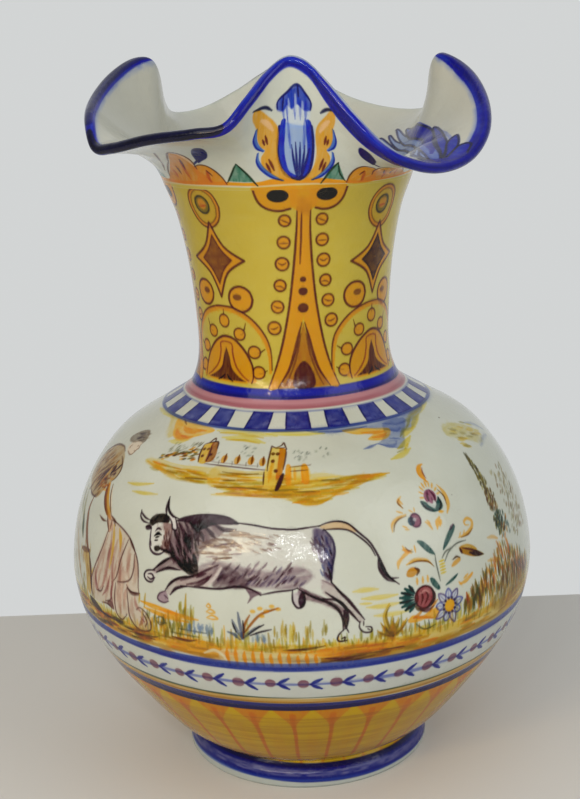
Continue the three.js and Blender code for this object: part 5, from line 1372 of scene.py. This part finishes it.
def paint_tulip(skin, centre, across):
    """A blue tulip between two orange leaves with scalloped blue edges, and two small green leaves."""
    def at(points, side=1):
        return [(centre + side * across * a, z) for a, z in points]

    light = tone(138, 166, 214)
    painted_highlight = tone(196, 210, 224)
    royal = tone(36, 56, 170)
    dark = tone(18, 26, 96)
    # painted highlight: a pale white-blue patch where the tulip's body meets its cap
    column = [(-5, 54), (-5.6, 62), (-6, 70), (-5, 76), (3.6, 76), (4.4, 70), (4, 62), (3.6, 54)]
    skin.wash(at(column), painted_highlight, load=0.9, blend=0, dry=0.4, angle=90, grain=(14, 1.0), soft=2)
    body = [(-1.6, 9), (-5.4, 15), (-7.4, 26), (-8.2, 38), (-7.8, 50), (-6.4, 59), (-2, 56), (2, 56),
        (5.2, 59), (6.2, 50), (6.2, 38), (5.8, 26), (4.6, 15), (2.2, 9)]
    skin.wash(at(body), light, load=0.95, blend=0.3, dry=0.3, angle=90, grain=(18, 1.2), soft=1.2)
    for side, reach in ((-1, 7.2), (1, 5)):
        edge = [(reach * 0.78, 60), (reach * 0.9, 50), (reach * 0.96, 38), (reach * 0.9, 26),
            (reach * 0.66, 15), (0.6, 10)]
        skin.stroke(at(edge, side), [3.4, 4.2, 3.8, 3.6, 3.0, 2.6], royal, load=0.95, dry=0.35, taper=0.15)
        skin.stroke(at([(reach * 1.02, 58), (reach * 1.12, 42), (reach * 1.06, 26), (reach * 0.76, 14),
            (0.4, 8.6)], side), 1.3, dark, load=0.9, taper=0.1)
        skin.stroke(at([(reach * 0.55, 62), (reach * 0.5, 50), (reach * 0.42, 36)], side), 1.6, royal,
            load=0.5, dry=0.7)
    cap = [(-7.8, 72), (-8, 78), (-5, 80.6), (-1, 83.4), (0.4, 85.6), (2.4, 82.6), (4.6, 78), (4.6, 71),
        (2.4, 68.6), (0, 72), (-2, 68), (-4, 71.6), (-5.6, 68)]
    skin.wash(at(cap), royal, load=0.95, blend=0.2, dry=0.45, angle=90, grain=(8, 1.0), pool=0.1, soft=1.2)
    for offset in (-6, -4.4, -1, 1.2, 3.2):
        skin.stroke(at([(offset, 76), (offset * 0.92, 66), (offset * 0.88, 60)]), [1.8, 1.4, 0.6], royal,
            load=0.5, dry=0.6)
    # painted highlight: pale streaks that fade the lower part of the cap towards white
    skin.strokes_of(painted_highlight, 1.3, (at([(-3.4, 76), (-3, 66)]), at([(-0.6, 79), (-0.6, 66)]),
        at([(2, 75), (1.8, 66)])), load=0.5, blend=0)
    skin.strokes_of(dark, 1.2, (at([(-7.8, 73), (-7.6, 78.6), (-4, 81), (0.4, 86), (3, 82), (4.9, 77),
        (4.6, 71)]), at([(-5.4, 79), (-6, 70)]), at([(0.4, 85), (0.6, 78)])), load=0.8)
    for offset in (-1.6, -0.6, 0.5, 1.6, 2.6):
        skin.stroke(at([(offset * 1.6, 42 - abs(offset) * 2), (offset * 1.2, 26), (offset * 0.5, 11)]),
            [0.7, 1.2, 1.1], dark, load=0.8, dry=0.3)
    for side, reach in ((-1, 1.0), (1, 0.86)):
        leaf = [(2.6, 8), (6.8, 20), (8.2, 35), (7.6, 50), (8.4, 61), (12, 76), (15.4, 91), (16.6, 84),
            (15.8, 70), (15.8, 58), (14.6, 48), (13, 42), (14.8, 36), (14.4, 26), (11, 16), (6.4, 9)]
        leaf = [(a * reach, z) for a, z in leaf]
        skin.wash(at(leaf, side), tone(216, 152, 46), load=0.95, blend=0.15, dry=0.35, angle=85)
        skin.stroke(at([(9.6 * reach, 57), (11.4 * reach, 66), (14 * reach, 76)], side), 2.2,
            tone(228, 186, 140), load=0.8, blend=0)
        for scallop in ([(15.6, 71), (16.9, 61), (16, 50), (13.4, 42)], [(15.8, 43), (16.4, 34), (14.8, 24),
                (11, 14), (6.4, 8.6)]):
            line = [(a * reach, z) for a, z in scallop]
            skin.stroke(at(line, side), [1.4, 2.6, 2.6, 1.8], tone(72, 110, 192), load=0.95, dry=0.3)
            skin.stroke(at([(a + 0.5, z) for a, z in line], side), 1.0, tone(36, 56, 150), load=0.8)
        skin.strokes_of(tone(96, 50, 14), 1.4, (at([(12.6 * reach, 57), (11.8 * reach, 47)], side),
            at([(13.8 * reach, 55), (13 * reach, 48)], side), at([(11.6 * reach, 31), (9.8 * reach, 19)],
            side), at([(12.8 * reach, 28), (11.2 * reach, 18)], side)), load=0.9)
        skin.stroke(at([(16 * reach, 92), (12.6 * reach, 84), (9.8 * reach, 75)], side), 1.3,
            tone(26, 30, 62), load=0.9)
    for side, apex, low, high in ((-1, 24.4, 19.2, 30), (1, 16.6, 11.4, 20)):
        triangle = [(low, 11), (low, 11), (high, 11), (high, 11), (apex, 33), (apex, 33)]
        skin.wash(at(triangle, side), tone(62, 118, 96), load=0.95, blend=0.3, dry=0.5, angle=80)
        skin.stroke(at([(apex, 33.5), (low + 1.8, 20), (low - 2, 5)], side), 1.2, tone(34, 54, 40), load=0.9)
        skin.stroke(at([(apex, 33.5), (high - 2.6, 20), (high + 0.4, 9)], side), 1.0, tone(34, 54, 40),
            load=0.8)


def paint_leaves(skin, centre, side, rise):
    """Orange leaves under a valley of the rim, and a dark bud. Rise lifts them towards the lip."""
    lift = 1 + rise / 30

    def at(points):
        return [(centre + side * a, z) for a, z in points]

    def lifted(points):
        return at([(a, 8 + (z - 8) * lift) for a, z in points])

    brown = tone(84, 46, 18)
    tall = [(9, 6), (5, 22), (4, 38), (2, 54), (-1, 48), (-5, 38), (-9, 30), (-14, 20), (-18, 12), (-20, 6)]
    low = [(16, 6), (15, 13), (12.6, 21), (10, 27), (7, 28.4), (4, 26), (2.4, 14), (2.4, 6)]
    skin.wash(at(tall), tone(204, 124, 28), load=0.95, blend=0.15, dry=0.4, angle=70)
    skin.stroke(at([(3.2, 50), (4, 38), (4.6, 28)]), 2.0, tone(226, 184, 136), load=0.8, blend=0)
    skin.wash(lifted(low), tone(214, 134, 30), load=0.95, blend=0.15, dry=0.35, angle=60)
    skin.strokes_of(tone(166, 82, 16), 2.0, (at([(0, 36), (-2, 22), (-2, 12)]),
        lifted([(9, 22), (8.6, 14), (9, 9)]), at([(-9, 24), (-10, 14)])), load=0.6, dry=0.5)
    skin.strokes_of(brown, 1.1, (lifted([(16.4, 7), (15.2, 14), (12.8, 22), (10, 28), (7, 29.4), (4.4, 27)]),
        at([(4.8, 24), (5, 40), (2.4, 56), (-1.4, 49), (-5.4, 39)]), at([(-6, 38), (-10, 31), (-14.6, 21),
        (-17, 14)]), lifted([(9, 22), (10.6, 16)]), at([(1, 40), (-1.4, 24)]), at([(-5, 30), (-6, 18)]),
        at([(-17, 22), (-12, 34), (-6, 50), (-2, 62)])), load=0.8)
    bud = [(14, 58), (14.2, 49), (12.6, 40), (9, 34), (7.6, 32), (7.6, 38), (8.6, 48), (11.4, 58)]
    skin.wash(at([(a, z + rise) for a, z in bud]), tone(18, 26, 92), load=1.0, dry=0.2)
    skin.stroke(at([(5, 30 + rise), (8, 36 + rise)]), 1.4, tone(18, 26, 92), load=0.9)


# The palmette's petals from left to right, each as an outline of (azimuth, place on the strip).
PALMETTE = ([(46, 113), (45.5, 130), (50, 158), (80, 188), (108, 191.5), (122, 183), (132, 173.5), (128, 183),
    (112, 198), (85, 200), (47, 140)], [(46, 113), (45.5, 130), (55, 169), (85, 184), (115, 179), (128, 167),
    (122.5, 179), (108, 191), (80, 195), (52, 160), (46, 142)], [(46.5, 115), (46.5, 124), (51, 152),
    (75, 186), (99, 189), (117.5, 173), (128, 153), (112, 169), (90, 181), (60, 165), (50, 139)],
    [(46, 113), (48, 134), (59.5, 167.5), (80, 180), (96, 183.5), (108, 172), (120, 152), (102, 164),
    (90, 171), (71, 163), (59, 149), (50, 124)], [(50, 124), (61, 150), (77, 166), (84, 167), (77, 159),
    (66, 147), (60.5, 139), (55, 132), (50, 123)], [(50, 122), (58, 136.5), (62, 139), (65, 135),
    (62.5, 130.5), (59, 127), (56, 126), (50, 119)], [(49, 117.5), (53, 124), (58, 126.5), (60, 122.5),
    (60, 116.5), (57.5, 114), (54, 111.5), (50, 113.5)])


def paint_palmette(skin):
    """A cobalt palmette that opens inside the right valley of the rim."""
    royal = tone(36, 46, 160)
    pale = tone(136, 158, 208)
    dark = tone(18, 22, 78)
    for petal, outline in enumerate(PALMETTE):
        skin.wash(outline, pale if petal < 3 else tone(84, 106, 190) if petal == 3 else royal, load=1.0,
            blend=0.1, dry=0.3, angle=70, grain=(10, 1.2))
        if petal == 3:
            skin.stroke([(114, 162), (100, 172), (88, 177), (68, 166), (52, 140)], [6, 9, 9, 7, 3], royal,
                load=0.9, dry=0.35)
            skin.stroke([(76, 178), (62, 167), (52, 148)], [1, 2, 1], pale, load=0.6, dry=0.5)
        if petal > 3:
            middle = outline[len(outline) // 2]
            skin.stroke([(50, 118), ((50 + middle[0]) / 2, (120 + middle[1]) / 2), middle], 2.0,
                tone(92, 112, 204), load=0.6, dry=0.6)
        skin.stroke(outline + outline[:1], 1.2, dark, load=0.85, taper=0)
    skin.wash([(36, 110), (40, 117), (44, 124), (47, 127), (51, 121), (56, 113), (50, 108)], royal, load=0.95,
        blend=0.2, dry=0.4)
    skin.strokes_of(pale, 1.6, ([(30, 113), (36, 117), (42, 126)], [(26, 112.5), (32, 115), (38, 121)]),
        load=0.7, dry=0.4)


# ---------------------------------------------------------------------------------------------------------
# Meshes. Each piece starts as a fine grid of places and colours that closes on itself both ways, round the
# pot and round its wall's section. The grid is thinned into right triangles: where paint and clay are plain
# the triangles stay large, and along a brush mark they halve until they follow it.

BLOCK = 64  # cells along the side of the largest squares
METRES = 0.001
SLOPE_STEP = 0.5  # mm along the wall to each side, for its slope


def cell_errors(places, colours, weights):
    """For each grid corner, how far it is from halfway between the ends of the line that it would divide."""

    def error(middle, one, other):
        colour = np.abs(colours[middle] - (colours[one] + colours[other]) / 2).max(-1) * weights[middle]
        bend = np.abs(places[middle] - (places[one] + places[other]) / 2).max(-1)
        return colour + bend * BEND_COST

    rows, columns = places.shape[:2]
    errors = np.zeros((rows, columns), np.float32)
    size = 2
    while size <= BLOCK:
        half = size // 2
        top, left = np.arange(0, rows, size)[:, None], np.arange(0, columns, size)[None, :]
        down, right = (top + size) % rows, (left + size) % columns
        middle_row, middle_column = top + half, left + half
        even = ((top // size + left // size) % 2 == 0)
        falling = error((middle_row, middle_column), (top, left), (down, right))
        rising = error((middle_row, middle_column), (top, right), (down, left))
        centres = np.where(even, falling, rising)
        flats = error((top, middle_column), (top, left), (top, right))
        uprights = error((middle_row, left), (top, left), (down, left))
        if size > 2:
            finer = errors[half // 2 :: half, half // 2 :: half]  # centres of the squares of half this size
            around = np.maximum(finer, np.roll(finer, 1, 0))
            around = np.maximum(around, np.roll(around, 1, 1))
            flats = np.maximum(flats, around[::2, 1::2])
            uprights = np.maximum(uprights, around[1::2, ::2])
        errors[::size, half::size] = flats
        errors[half::size, ::size] = uprights
        errors[half::size, half::size] = np.maximum.reduce(
            [centres, flats, np.roll(flats, -1, 0), uprights, np.roll(uprights, -1, 1)])
        size *= 2
    return errors


def thin_triangles(errors, most):
    """Right triangles over the grid, about as many as most, as three (row, column) corners each."""
    rows, columns = errors.shape
    roots = 2 * (rows // BLOCK) * (columns // BLOCK)
    splits = (most - roots) // 2
    limit = max(np.partition(errors.ravel(), -splits)[-splits], LEAST_ERROR)
    top, left = np.meshgrid(np.arange(0, rows, BLOCK), np.arange(0, columns, BLOCK), indexing="ij")
    top, left = top.ravel(), left.ravel()
    down, right = top + BLOCK, left + BLOCK
    even = (top // BLOCK + left // BLOCK) % 2 == 0

    def corner(row, column):
        return np.stack([row, column], 1)

    # corners in order: the right angle, then the two ends of the long side
    one = np.where(even[:, None, None], np.stack([corner(top, right), corner(top, left), corner(down, right)],
        1), np.stack([corner(top, left), corner(down, left), corner(top, right)], 1))
    two = np.where(even[:, None, None], np.stack([corner(down, left), corner(down, right), corner(top, left)],
        1), np.stack([corner(down, right), corner(top, right), corner(down, left)], 1))
    open_ones, done = np.concatenate([one, two]), []
    for _ in range(2 * int(math.log2(BLOCK))):
        apex, start, end = open_ones[:, 0], open_ones[:, 1], open_ones[:, 2]
        middle = (start + end) // 2
        split = errors[middle[:, 0] % rows, middle[:, 1] % columns] >= limit
        done.append(open_ones[~split])
        middle, apex, start, end = middle[split], apex[split], start[split], end[split]
        open_ones = np.concatenate([np.stack([middle, apex, start], 1), np.stack([middle, end, apex], 1)])
    done.append(open_ones)
    return np.concatenate(done)


def build_piece(name, places, normals, colours, most):
    """A Blender mesh object, of most faces at most, from a grid of places, normals and display colours."""
    rows, columns = places.shape[:2]
    weights = np.broadcast_to(attention(columns), (rows, columns))
    corners = thin_triangles(cell_errors(places, colours, weights), most)
    flat = (corners[..., 0] % rows) * columns + corners[..., 1] % columns
    used, faces = np.unique(flat, return_inverse=True)
    faces = faces.reshape(-1, 3)[:, ::-1]
    points = places.reshape(-1, 3)[used]
    mesh = bpy.data.meshes.new(name)
    mesh.vertices.add(len(points))
    mesh.vertices.foreach_set("co", (points * METRES).astype(np.float32).ravel())
    mesh.loops.add(faces.size)
    mesh.loops.foreach_set("vertex_index", faces.astype(np.int32).ravel())
    mesh.polygons.add(len(faces))
    mesh.polygons.foreach_set("loop_start", np.arange(0, faces.size, 3, dtype=np.int32))
    mesh.update(calc_edges=True)
    mesh.validate()
    mesh.polygons.foreach_set("use_smooth", np.ones(len(mesh.polygons), bool))
    shade = np.ones((len(points), 4), np.float32)
    linear = np.clip(colours.reshape(-1, 3)[used], 0, 1) ** DISPLAY_GAMMA
    shade[:, :3] = np.maximum(linear * GLAZE_DEPTH - SHEEN, LEAST_SHADE)
    layer = mesh.color_attributes.new(PAINT, "FLOAT_COLOR", "POINT")
    layer.data.foreach_set("color", shade.ravel())
    mesh.normals_split_custom_set_from_vertices(normals.reshape(-1, 3)[used])
    piece = bpy.data.objects.new(name, mesh)
    bpy.context.scene.collection.objects.link(piece)
    return piece


def attention(columns):
    """How much colour matters round the pot: most on the front."""
    return (0.75 + 0.25 * np.cos(np.radians(azimuths_of(columns)))).astype(np.float32)


def unit(vectors):
    """The vectors at length 1."""
    return vectors / np.linalg.norm(vectors, axis=-1, keepdims=True)


def turned_grid(section, facing, columns):
    """Places and normals of a turned surface from its section, rows of (radius, height)."""
    turns = np.radians(azimuths_of(columns))
    sine, cosine = np.sin(turns)[None, :], -np.cos(turns)[None, :]

    def swept(rows):
        return np.stack([rows[:, :1] * sine, rows[:, :1] * cosine, np.repeat(rows[:, 1:], columns, 1)], -1)

    return swept(section), swept(facing)


def wall_section(low, high, outside_rows):
    """Outside of the wall from low to high: (radius, height) rows, their facing, distances up the skin."""
    start, end = np.interp([low, high], BODY.heights, BODY.distances)
    distances = np.linspace(start, end, outside_rows)
    heights = np.interp(distances, BODY.distances, BODY.heights)
    radii = np.interp(distances, BODY.distances, BODY.radii)
    after, before = distances + SLOPE_STEP, distances - SLOPE_STEP
    ahead, rise = (
        np.interp(after, BODY.distances, table) - np.interp(before, BODY.distances, table)
        for table in (BODY.radii, BODY.heights))
    return np.stack([radii, heights], 1), unit(np.stack([rise, -ahead], 1)), distances


def turned_piece(name, low, high, inside, outside_rows, inside_rows, columns, most):
    """A piece of the turned pot: its painted outside, and a plain inside through (radius, height) points."""
    section, facing, distances = wall_section(low, high, outside_rows)
    path = np.array([section[-1], *inside, section[0]], float)
    lengths = np.concatenate([[0], np.cumsum(np.hypot(*np.diff(path, axis=0).T))])
    places_in = np.linspace(0, lengths[-1], inside_rows + 2)[1:-1]
    inner = np.stack([np.interp(places_in, lengths, path[:, k]) for k in (0, 1)], 1)
    slope = np.stack([np.gradient(inner[:, 0]), np.gradient(inner[:, 1])], 1)
    inner_facing = unit(np.stack([slope[:, 1], -slope[:, 0]], 1))
    places, normals = turned_grid(np.concatenate([section, inner]), np.concatenate([facing, inner_facing]),
        columns)
    glazed = np.broadcast_to(INSIDE_GLAZE, (inside_rows, columns, 3))
    colours = np.concatenate([BODY.read(distances, columns), glazed]).astype(np.float32)
    return build_piece(name, places, normals, colours, most)


# ---------------------------------------------------------------------------------------------------------
# Glaze. Scales of noise are in blobs to a metre, heights of bumps in metres, colours are linear.

BARE_GLAZE = (0.78, 0.77, 0.68, 1)
CRACK_COLOUR = (0.30, 0.22, 0.13, 1)
PINHOLE_COLOUR = (0.09, 0.06, 0.04, 1)
HAZE_COLOUR = (0.62, 0.58, 0.46, 1)
CRACK_SWAY = 0.003  # metres that the crackle's straight lines are bent by
CRACK_CELLS, CRACK_WIDTH = 230.0, 0.025
PINHOLE_CELLS, PINHOLE_RARITY, PINHOLE_DEPTH = 75.0, 0.86, 0.0001
PEEL_HEIGHT, SWELL_HEIGHT, RING_HEIGHT = 0.00022, 0.00022, 0.00018
THROWING_RINGS = (4, 4, 160)  # noise this much finer up the wall than round it


class Shader:
    """A material and a short way to add its nodes: add("Type", socket=a value or another node's output)."""

    def __init__(self, name):
        self.material = bpy.data.materials.new(name)
        self.material.use_nodes = True
        self.tree = self.material.node_tree
        self.surface = self.tree.nodes["Principled BSDF"]

    def add(self, kind, settings=None, **inputs):
        """A new node. Settings are its own properties; underscores in inputs stand for spaces."""
        node = self.tree.nodes.new(kind)
        for key, value in (settings or {}).items():
            setattr(node, key, value)
        for key, value in inputs.items():
            self.put(node, key.replace("_", " "), value)
        return node

    def put(self, node, socket, value):
        """Links or sets a socket, given by its name or by its number as a string."""
        target = node.inputs[int(socket)] if socket.isdigit() else node.inputs[socket]
        if isinstance(value, bpy.types.NodeSocket):
            self.tree.links.new(value, target)
        else:
            target.default_value = value

    def maths(self, operation, *values):
        """The output of a Math node."""
        node = self.tree.nodes.new("ShaderNodeMath")
        node.operation = operation
        for k, value in enumerate(values):
            self.put(node, str(k), value)
        return node.outputs[0]

    def ramp(self, value, low, high, start=0.0, end=1.0):
        """A straight line from start at low to end at high, held beyond them."""
        node = self.tree.nodes.new("ShaderNodeMapRange")
        for socket, number in (("From Min", low), ("From Max", high), ("To Min", start), ("To Max", end)):
            node.inputs[socket].default_value = number
        self.put(node, "Value", value)
        return node.outputs["Result"]

    def tint(self, factor, colour, other, blend="MIX"):
        """Colour turned towards the other by the factor."""
        node = self.tree.nodes.new("ShaderNodeMix")
        node.data_type = "RGBA"
        node.blend_type = blend
        self.put(node, "Factor", factor)
        for socket, value in (("6", colour), ("7", other)):  # A and B of a colour mix
            self.put(node, socket, value)
        return node.outputs[2]


def glaze(name, crackle, painted=True, gloss=0.3):
    """Tin glaze over clay: pooled colour, a fine net of crackle, pinholes, and an orange-peel gloss."""
    shader = Shader(name)
    place = shader.add("ShaderNodeTexCoord").outputs["Object"]
    if painted:
        colour = shader.add("ShaderNodeAttribute", {"attribute_name": PAINT}).outputs["Color"]
    else:
        colour = shader.add("ShaderNodeRGB").outputs[0]
        colour.default_value = BARE_GLAZE
    sway = shader.add("ShaderNodeTexNoise", Vector=place, Scale=90.0, Detail=2.0).outputs["Color"]
    bent = shader.add("ShaderNodeVectorMath", {"operation": "MULTIPLY_ADD"})
    shader.tree.links.new(sway, bent.inputs[0])
    bent.inputs[1].default_value = (CRACK_SWAY, CRACK_SWAY, CRACK_SWAY)
    shader.tree.links.new(place, bent.inputs[2])
    edges = {"feature": "DISTANCE_TO_EDGE"}
    net = shader.add("ShaderNodeTexVoronoi", edges, Vector=bent.outputs[0], Scale=CRACK_CELLS)
    cracks = shader.ramp(net.outputs["Distance"], 0.0, CRACK_WIDTH, crackle, 0.0)
    patches = shader.add("ShaderNodeTexNoise", Vector=place, Scale=14.0, Detail=2.0).outputs[0]
    cracks = shader.maths("MULTIPLY", cracks, shader.ramp(patches, 0.42, 0.62))
    colour = shader.tint(cracks, colour, CRACK_COLOUR)
    pits = shader.add("ShaderNodeTexVoronoi", Vector=place, Scale=PINHOLE_CELLS)
    pick = shader.add("ShaderNodeSeparateColor", Color=pits.outputs["Color"]).outputs[0]
    rare = shader.maths("GREATER_THAN", pick, PINHOLE_RARITY)
    pinhole = shader.maths("MULTIPLY", shader.ramp(pits.outputs["Distance"], 0.035, 0.06, 1.0, 0.0), rare)
    colour = shader.tint(shader.maths("MULTIPLY", pinhole, 0.7), colour, PINHOLE_COLOUR)
    haze = shader.add("ShaderNodeTexNoise", Vector=place, Scale=30.0, Detail=4.0).outputs[0]
    colour = shader.tint(shader.ramp(haze, 0.4, 0.75, 0.0, 0.14), colour, HAZE_COLOUR, "MULTIPLY")
    peel = shader.add("ShaderNodeTexNoise", Vector=place, Scale=260.0, Detail=2.0).outputs[0]
    swell = shader.add("ShaderNodeTexNoise", Vector=place, Scale=38.0, Detail=1.0).outputs[0]
    stretched = shader.add("ShaderNodeMapping", Vector=place)
    stretched.inputs["Scale"].default_value = THROWING_RINGS
    rings = shader.add("ShaderNodeTexNoise", Vector=stretched.outputs[0], Scale=1.0, Detail=1.0).outputs[0]
    height = shader.maths("MULTIPLY", peel, PEEL_HEIGHT)
    for bump_of, rise in ((swell, SWELL_HEIGHT), (rings, RING_HEIGHT), (pinhole, -PINHOLE_DEPTH)):
        height = shader.maths("ADD", height, shader.maths("MULTIPLY", bump_of, rise))
    bump = shader.add("ShaderNodeBump", Height=height, Strength=1.0, Distance=1.0)
    shader.put(shader.surface, "Base Color", colour)
    shader.put(shader.surface, "Normal", bump.outputs[0])
    shader.put(shader.surface, "Roughness", shader.ramp(haze, 0.3, 0.7, 0.08, 0.2))
    shader.put(shader.surface, "Specular IOR Level", gloss)
    return shader.material


def plain(name, colour, roughness):
    """A matt material of one colour."""
    shader = Shader(name)
    shader.put(shader.surface, "Base Color", (*colour, 1))
    shader.put(shader.surface, "Roughness", roughness)
    return shader.material


# ---------------------------------------------------------------------------------------------------------
# Building the pot.

PAINT = "paint"
DISPLAY_GAMMA = 2.2
SHEEN = 0.02  # the pale room, mirrored in the gloss, lightens every colour by about this much
LEAST_SHADE = 0.004  # no paint is darker than this
GLAZE_DEPTH = 0.88  # share of the light that the glaze over the paint lets through
BEND_COST = 1.2  # a bend of 0.8 mm weighs as much as the step from black to white
LEAST_ERROR = 0.004  # triangles are never split for less than this
INSIDE_GLAZE = tone(214, 210, 194)

BODY = turned_skin()
paint_body(BODY)
MOUTH = mouth_skin_strip()
paint_mouth(MOUTH)


def inner(heights):
    """The wall's inside at these heights, as (radius, height)."""
    heights = np.array(heights, float)
    slope = hermite(PROFILE, heights + SLOPE_STEP) - hermite(PROFILE, heights - SLOPE_STEP)
    radii = hermite(PROFILE, heights) - hermite(WALL, heights) * np.hypot(1, slope)
    return list(zip(radii, heights))


# The insides, as (radius, height) from the top of each section down to its foot.
FOOT_INNER = [(57, FOOT_TOP), (57.4, 8), (60, 1.4), (61.5, 0)]
POT_FLOOR = [(62, 26), (52, 24), (0.05, 24), (0.05, FOOT_TOP)]
BOWL_INNER = inner([BELLY_SEAM, 68, 60, 52, 44, 36, 32]) + POT_FLOOR
BELLY_INNER = inner(range(225, 76, -4))
NECK_INNER = inner(range(337, 226, -4))
# Each grid's rows and columns are multiples of BLOCK; the last number is the most triangles it keeps.
pieces = {
    "foot_ring": turned_piece("foot", 0, FOOT_TOP, FOOT_INNER, 80, 48, 1024, 40000),
    "lower_bowl": turned_piece("bowl", FOOT_TOP, BELLY_SEAM, BOWL_INNER, 224, 96, 2048, 190000),
    "belly": turned_piece("belly", BELLY_SEAM, NECK_SEAM, BELLY_INNER, 512, 64, 2048, 400000),
    "neck": turned_piece("neck", NECK_SEAM, MOUTH_SEAM, NECK_INNER, 288, 32, 2048, 190000),
    "ruffled_rim": mouth_piece("mouth", 272, 32, 208, 2048, 190000),
}
slots = {
    "foot_ring": "foot_glaze",
    "lower_bowl": "bowl_glaze",
    "belly": "belly_glaze",
    "neck": "neck_glaze",
    "ruffled_rim": "rim_glaze",
}
CRACKLE = {"foot_ring": 0.08, "lower_bowl": 0.08, "belly": 0.14, "neck": 0.08, "ruffled_rim": 0.1}
BOWL_GLOSS, GLOSS = 0.12, 0.3  # the bowl mirrors the pale table, which the photo's dark table does not show

for node, piece in pieces.items():
    gloss = BOWL_GLOSS if node == "lower_bowl" else GLOSS
    piece.data.materials.append(glaze(slots[node], CRACKLE[node], gloss=gloss))
    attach(piece, "root")
    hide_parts(node)

coil_glaze = glaze("coil_glaze", 0.08, painted=False, gloss=GLOSS)
for node in ("belly_seam_coil", "neck_seam_coil"):
    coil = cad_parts[node]
    coil.data.materials.clear()
    coil.data.materials.append(coil_glaze)

# ---------------------------------------------------------------------------------------------------------
# Stage, lights and camera.

FLOOR_BACK, FLOOR_FRONT, FLOOR_WIDTH = 0.19, -1.6, 3.2  # the table top ends a little way behind the pot
bpy.ops.mesh.primitive_plane_add(size=1, location=(0, (FLOOR_BACK + FLOOR_FRONT) / 2, -0.0002))
floor = bpy.context.object
floor.scale = (FLOOR_WIDTH, FLOOR_BACK - FLOOR_FRONT, 1)
floor.name = "floor"
floor.data.materials.append(plain("studio_floor", (0.66, 0.64, 0.60), 0.7))

bpy.context.scene.view_settings.view_transform = "Standard"

ROOM_COLOUR = (0.86, 0.88, 0.88, 1)
world = bpy.data.worlds.new("studio")
bpy.context.scene.world = world
world.use_nodes = True
tree = world.node_tree
tree.nodes["Background"].inputs["Color"].default_value = ROOM_COLOUR
# The room is a pale wall behind the pot, and dimmer to the left, above, and behind the camera.
heading = tree.nodes.new("ShaderNodeSeparateXYZ")
tree.links.new(tree.nodes.new("ShaderNodeTexCoord").outputs["Generated"], heading.inputs[0])
room = tree.nodes.new("ShaderNodeMath")
room.operation = "MULTIPLY"
tree.links.new(room.outputs[0], tree.nodes["Background"].inputs["Strength"])
# axis of the view direction, start and end of the grade along it, and the strengths there
GRADES = (("Y", 0.0, 0.75, 0.42, 0.75), ("X", -0.8, -0.3, 0.5, 1.0))
for place, (axis, start, end, dim, bright) in enumerate(GRADES):
    grade = tree.nodes.new("ShaderNodeMapRange")
    for socket, number in (("From Min", start), ("From Max", end), ("To Min", dim), ("To Max", bright)):
        grade.inputs[socket].default_value = number
    tree.links.new(heading.outputs[axis], grade.inputs["Value"])
    tree.links.new(grade.outputs["Result"], room.inputs[place])


LIGHT_TARGET = Vector((0, 0, 0.2))


def area_light(name, place, size, power, colour=(1, 1, 1)):
    """A rectangular lamp at a place, turned to the middle of the pot. Sizes are in metres, power in watts."""
    light = bpy.data.lights.new(name, "AREA")
    light.shape = "RECTANGLE"
    light.size, light.size_y = size
    light.energy = power
    light.color = colour
    lamp = bpy.data.objects.new(name, light)
    bpy.context.scene.collection.objects.link(lamp)
    lamp.location = place
    lamp.rotation_euler = (lamp.location - LIGHT_TARGET).to_track_quat("Z", "Y").to_euler()


area_light("window", (-1.0, -1.3, 1.3), (1.2, 1.6), 12)
area_light("fill", (1.4, -0.9, 1.0), (1.2, 1.2), 8)
# A cluster of small cool lamps and a row of small warm ones, which the glaze breaks into sparks.
FLASHES = ((0.04, 0.50), (0.11, 0.46), (-0.06, 0.47), (-0.14, 0.62), (-0.20, 0.52), (-0.04, 0.60))
LAMPS = ((-0.32, 0.60), (-0.42, 0.54), (-0.52, 0.58), (-0.60, 0.50), (-0.70, 0.54), (-0.80, 0.52),
    (-0.48, 0.66))
for side, up in FLASHES:
    area_light("flash", (side, -0.82, up), (0.02, 0.02), 0.26, (0.92, 0.96, 1))
for side, up in LAMPS:
    area_light("lamp", (side, -0.80, up), (0.024, 0.016), 0.3, (1, 0.74, 0.40))

# metres, then radians, then millimetres of lens: fitted to the outline in the photo
CAMERA_DISTANCE = 0.7589
CAMERA_HEIGHT = 0.4077
CAMERA_SIDE = -0.0035
LOOK_DOWN = 0.2550
ROLL = -0.0385
LENS = 60.91
camera_data = bpy.data.cameras.new("camera")
camera_data.lens = LENS
camera = bpy.data.objects.new("camera", camera_data)
bpy.context.scene.collection.objects.link(camera)
camera.matrix_world = (
    Matrix.Translation((CAMERA_SIDE, -CAMERA_DISTANCE, CAMERA_HEIGHT))
    @ Matrix.Rotation(math.pi / 2 - LOOK_DOWN, 4, "X") @ Matrix.Rotation(ROLL, 4, "Z")
)
bpy.context.scene.camera = camera
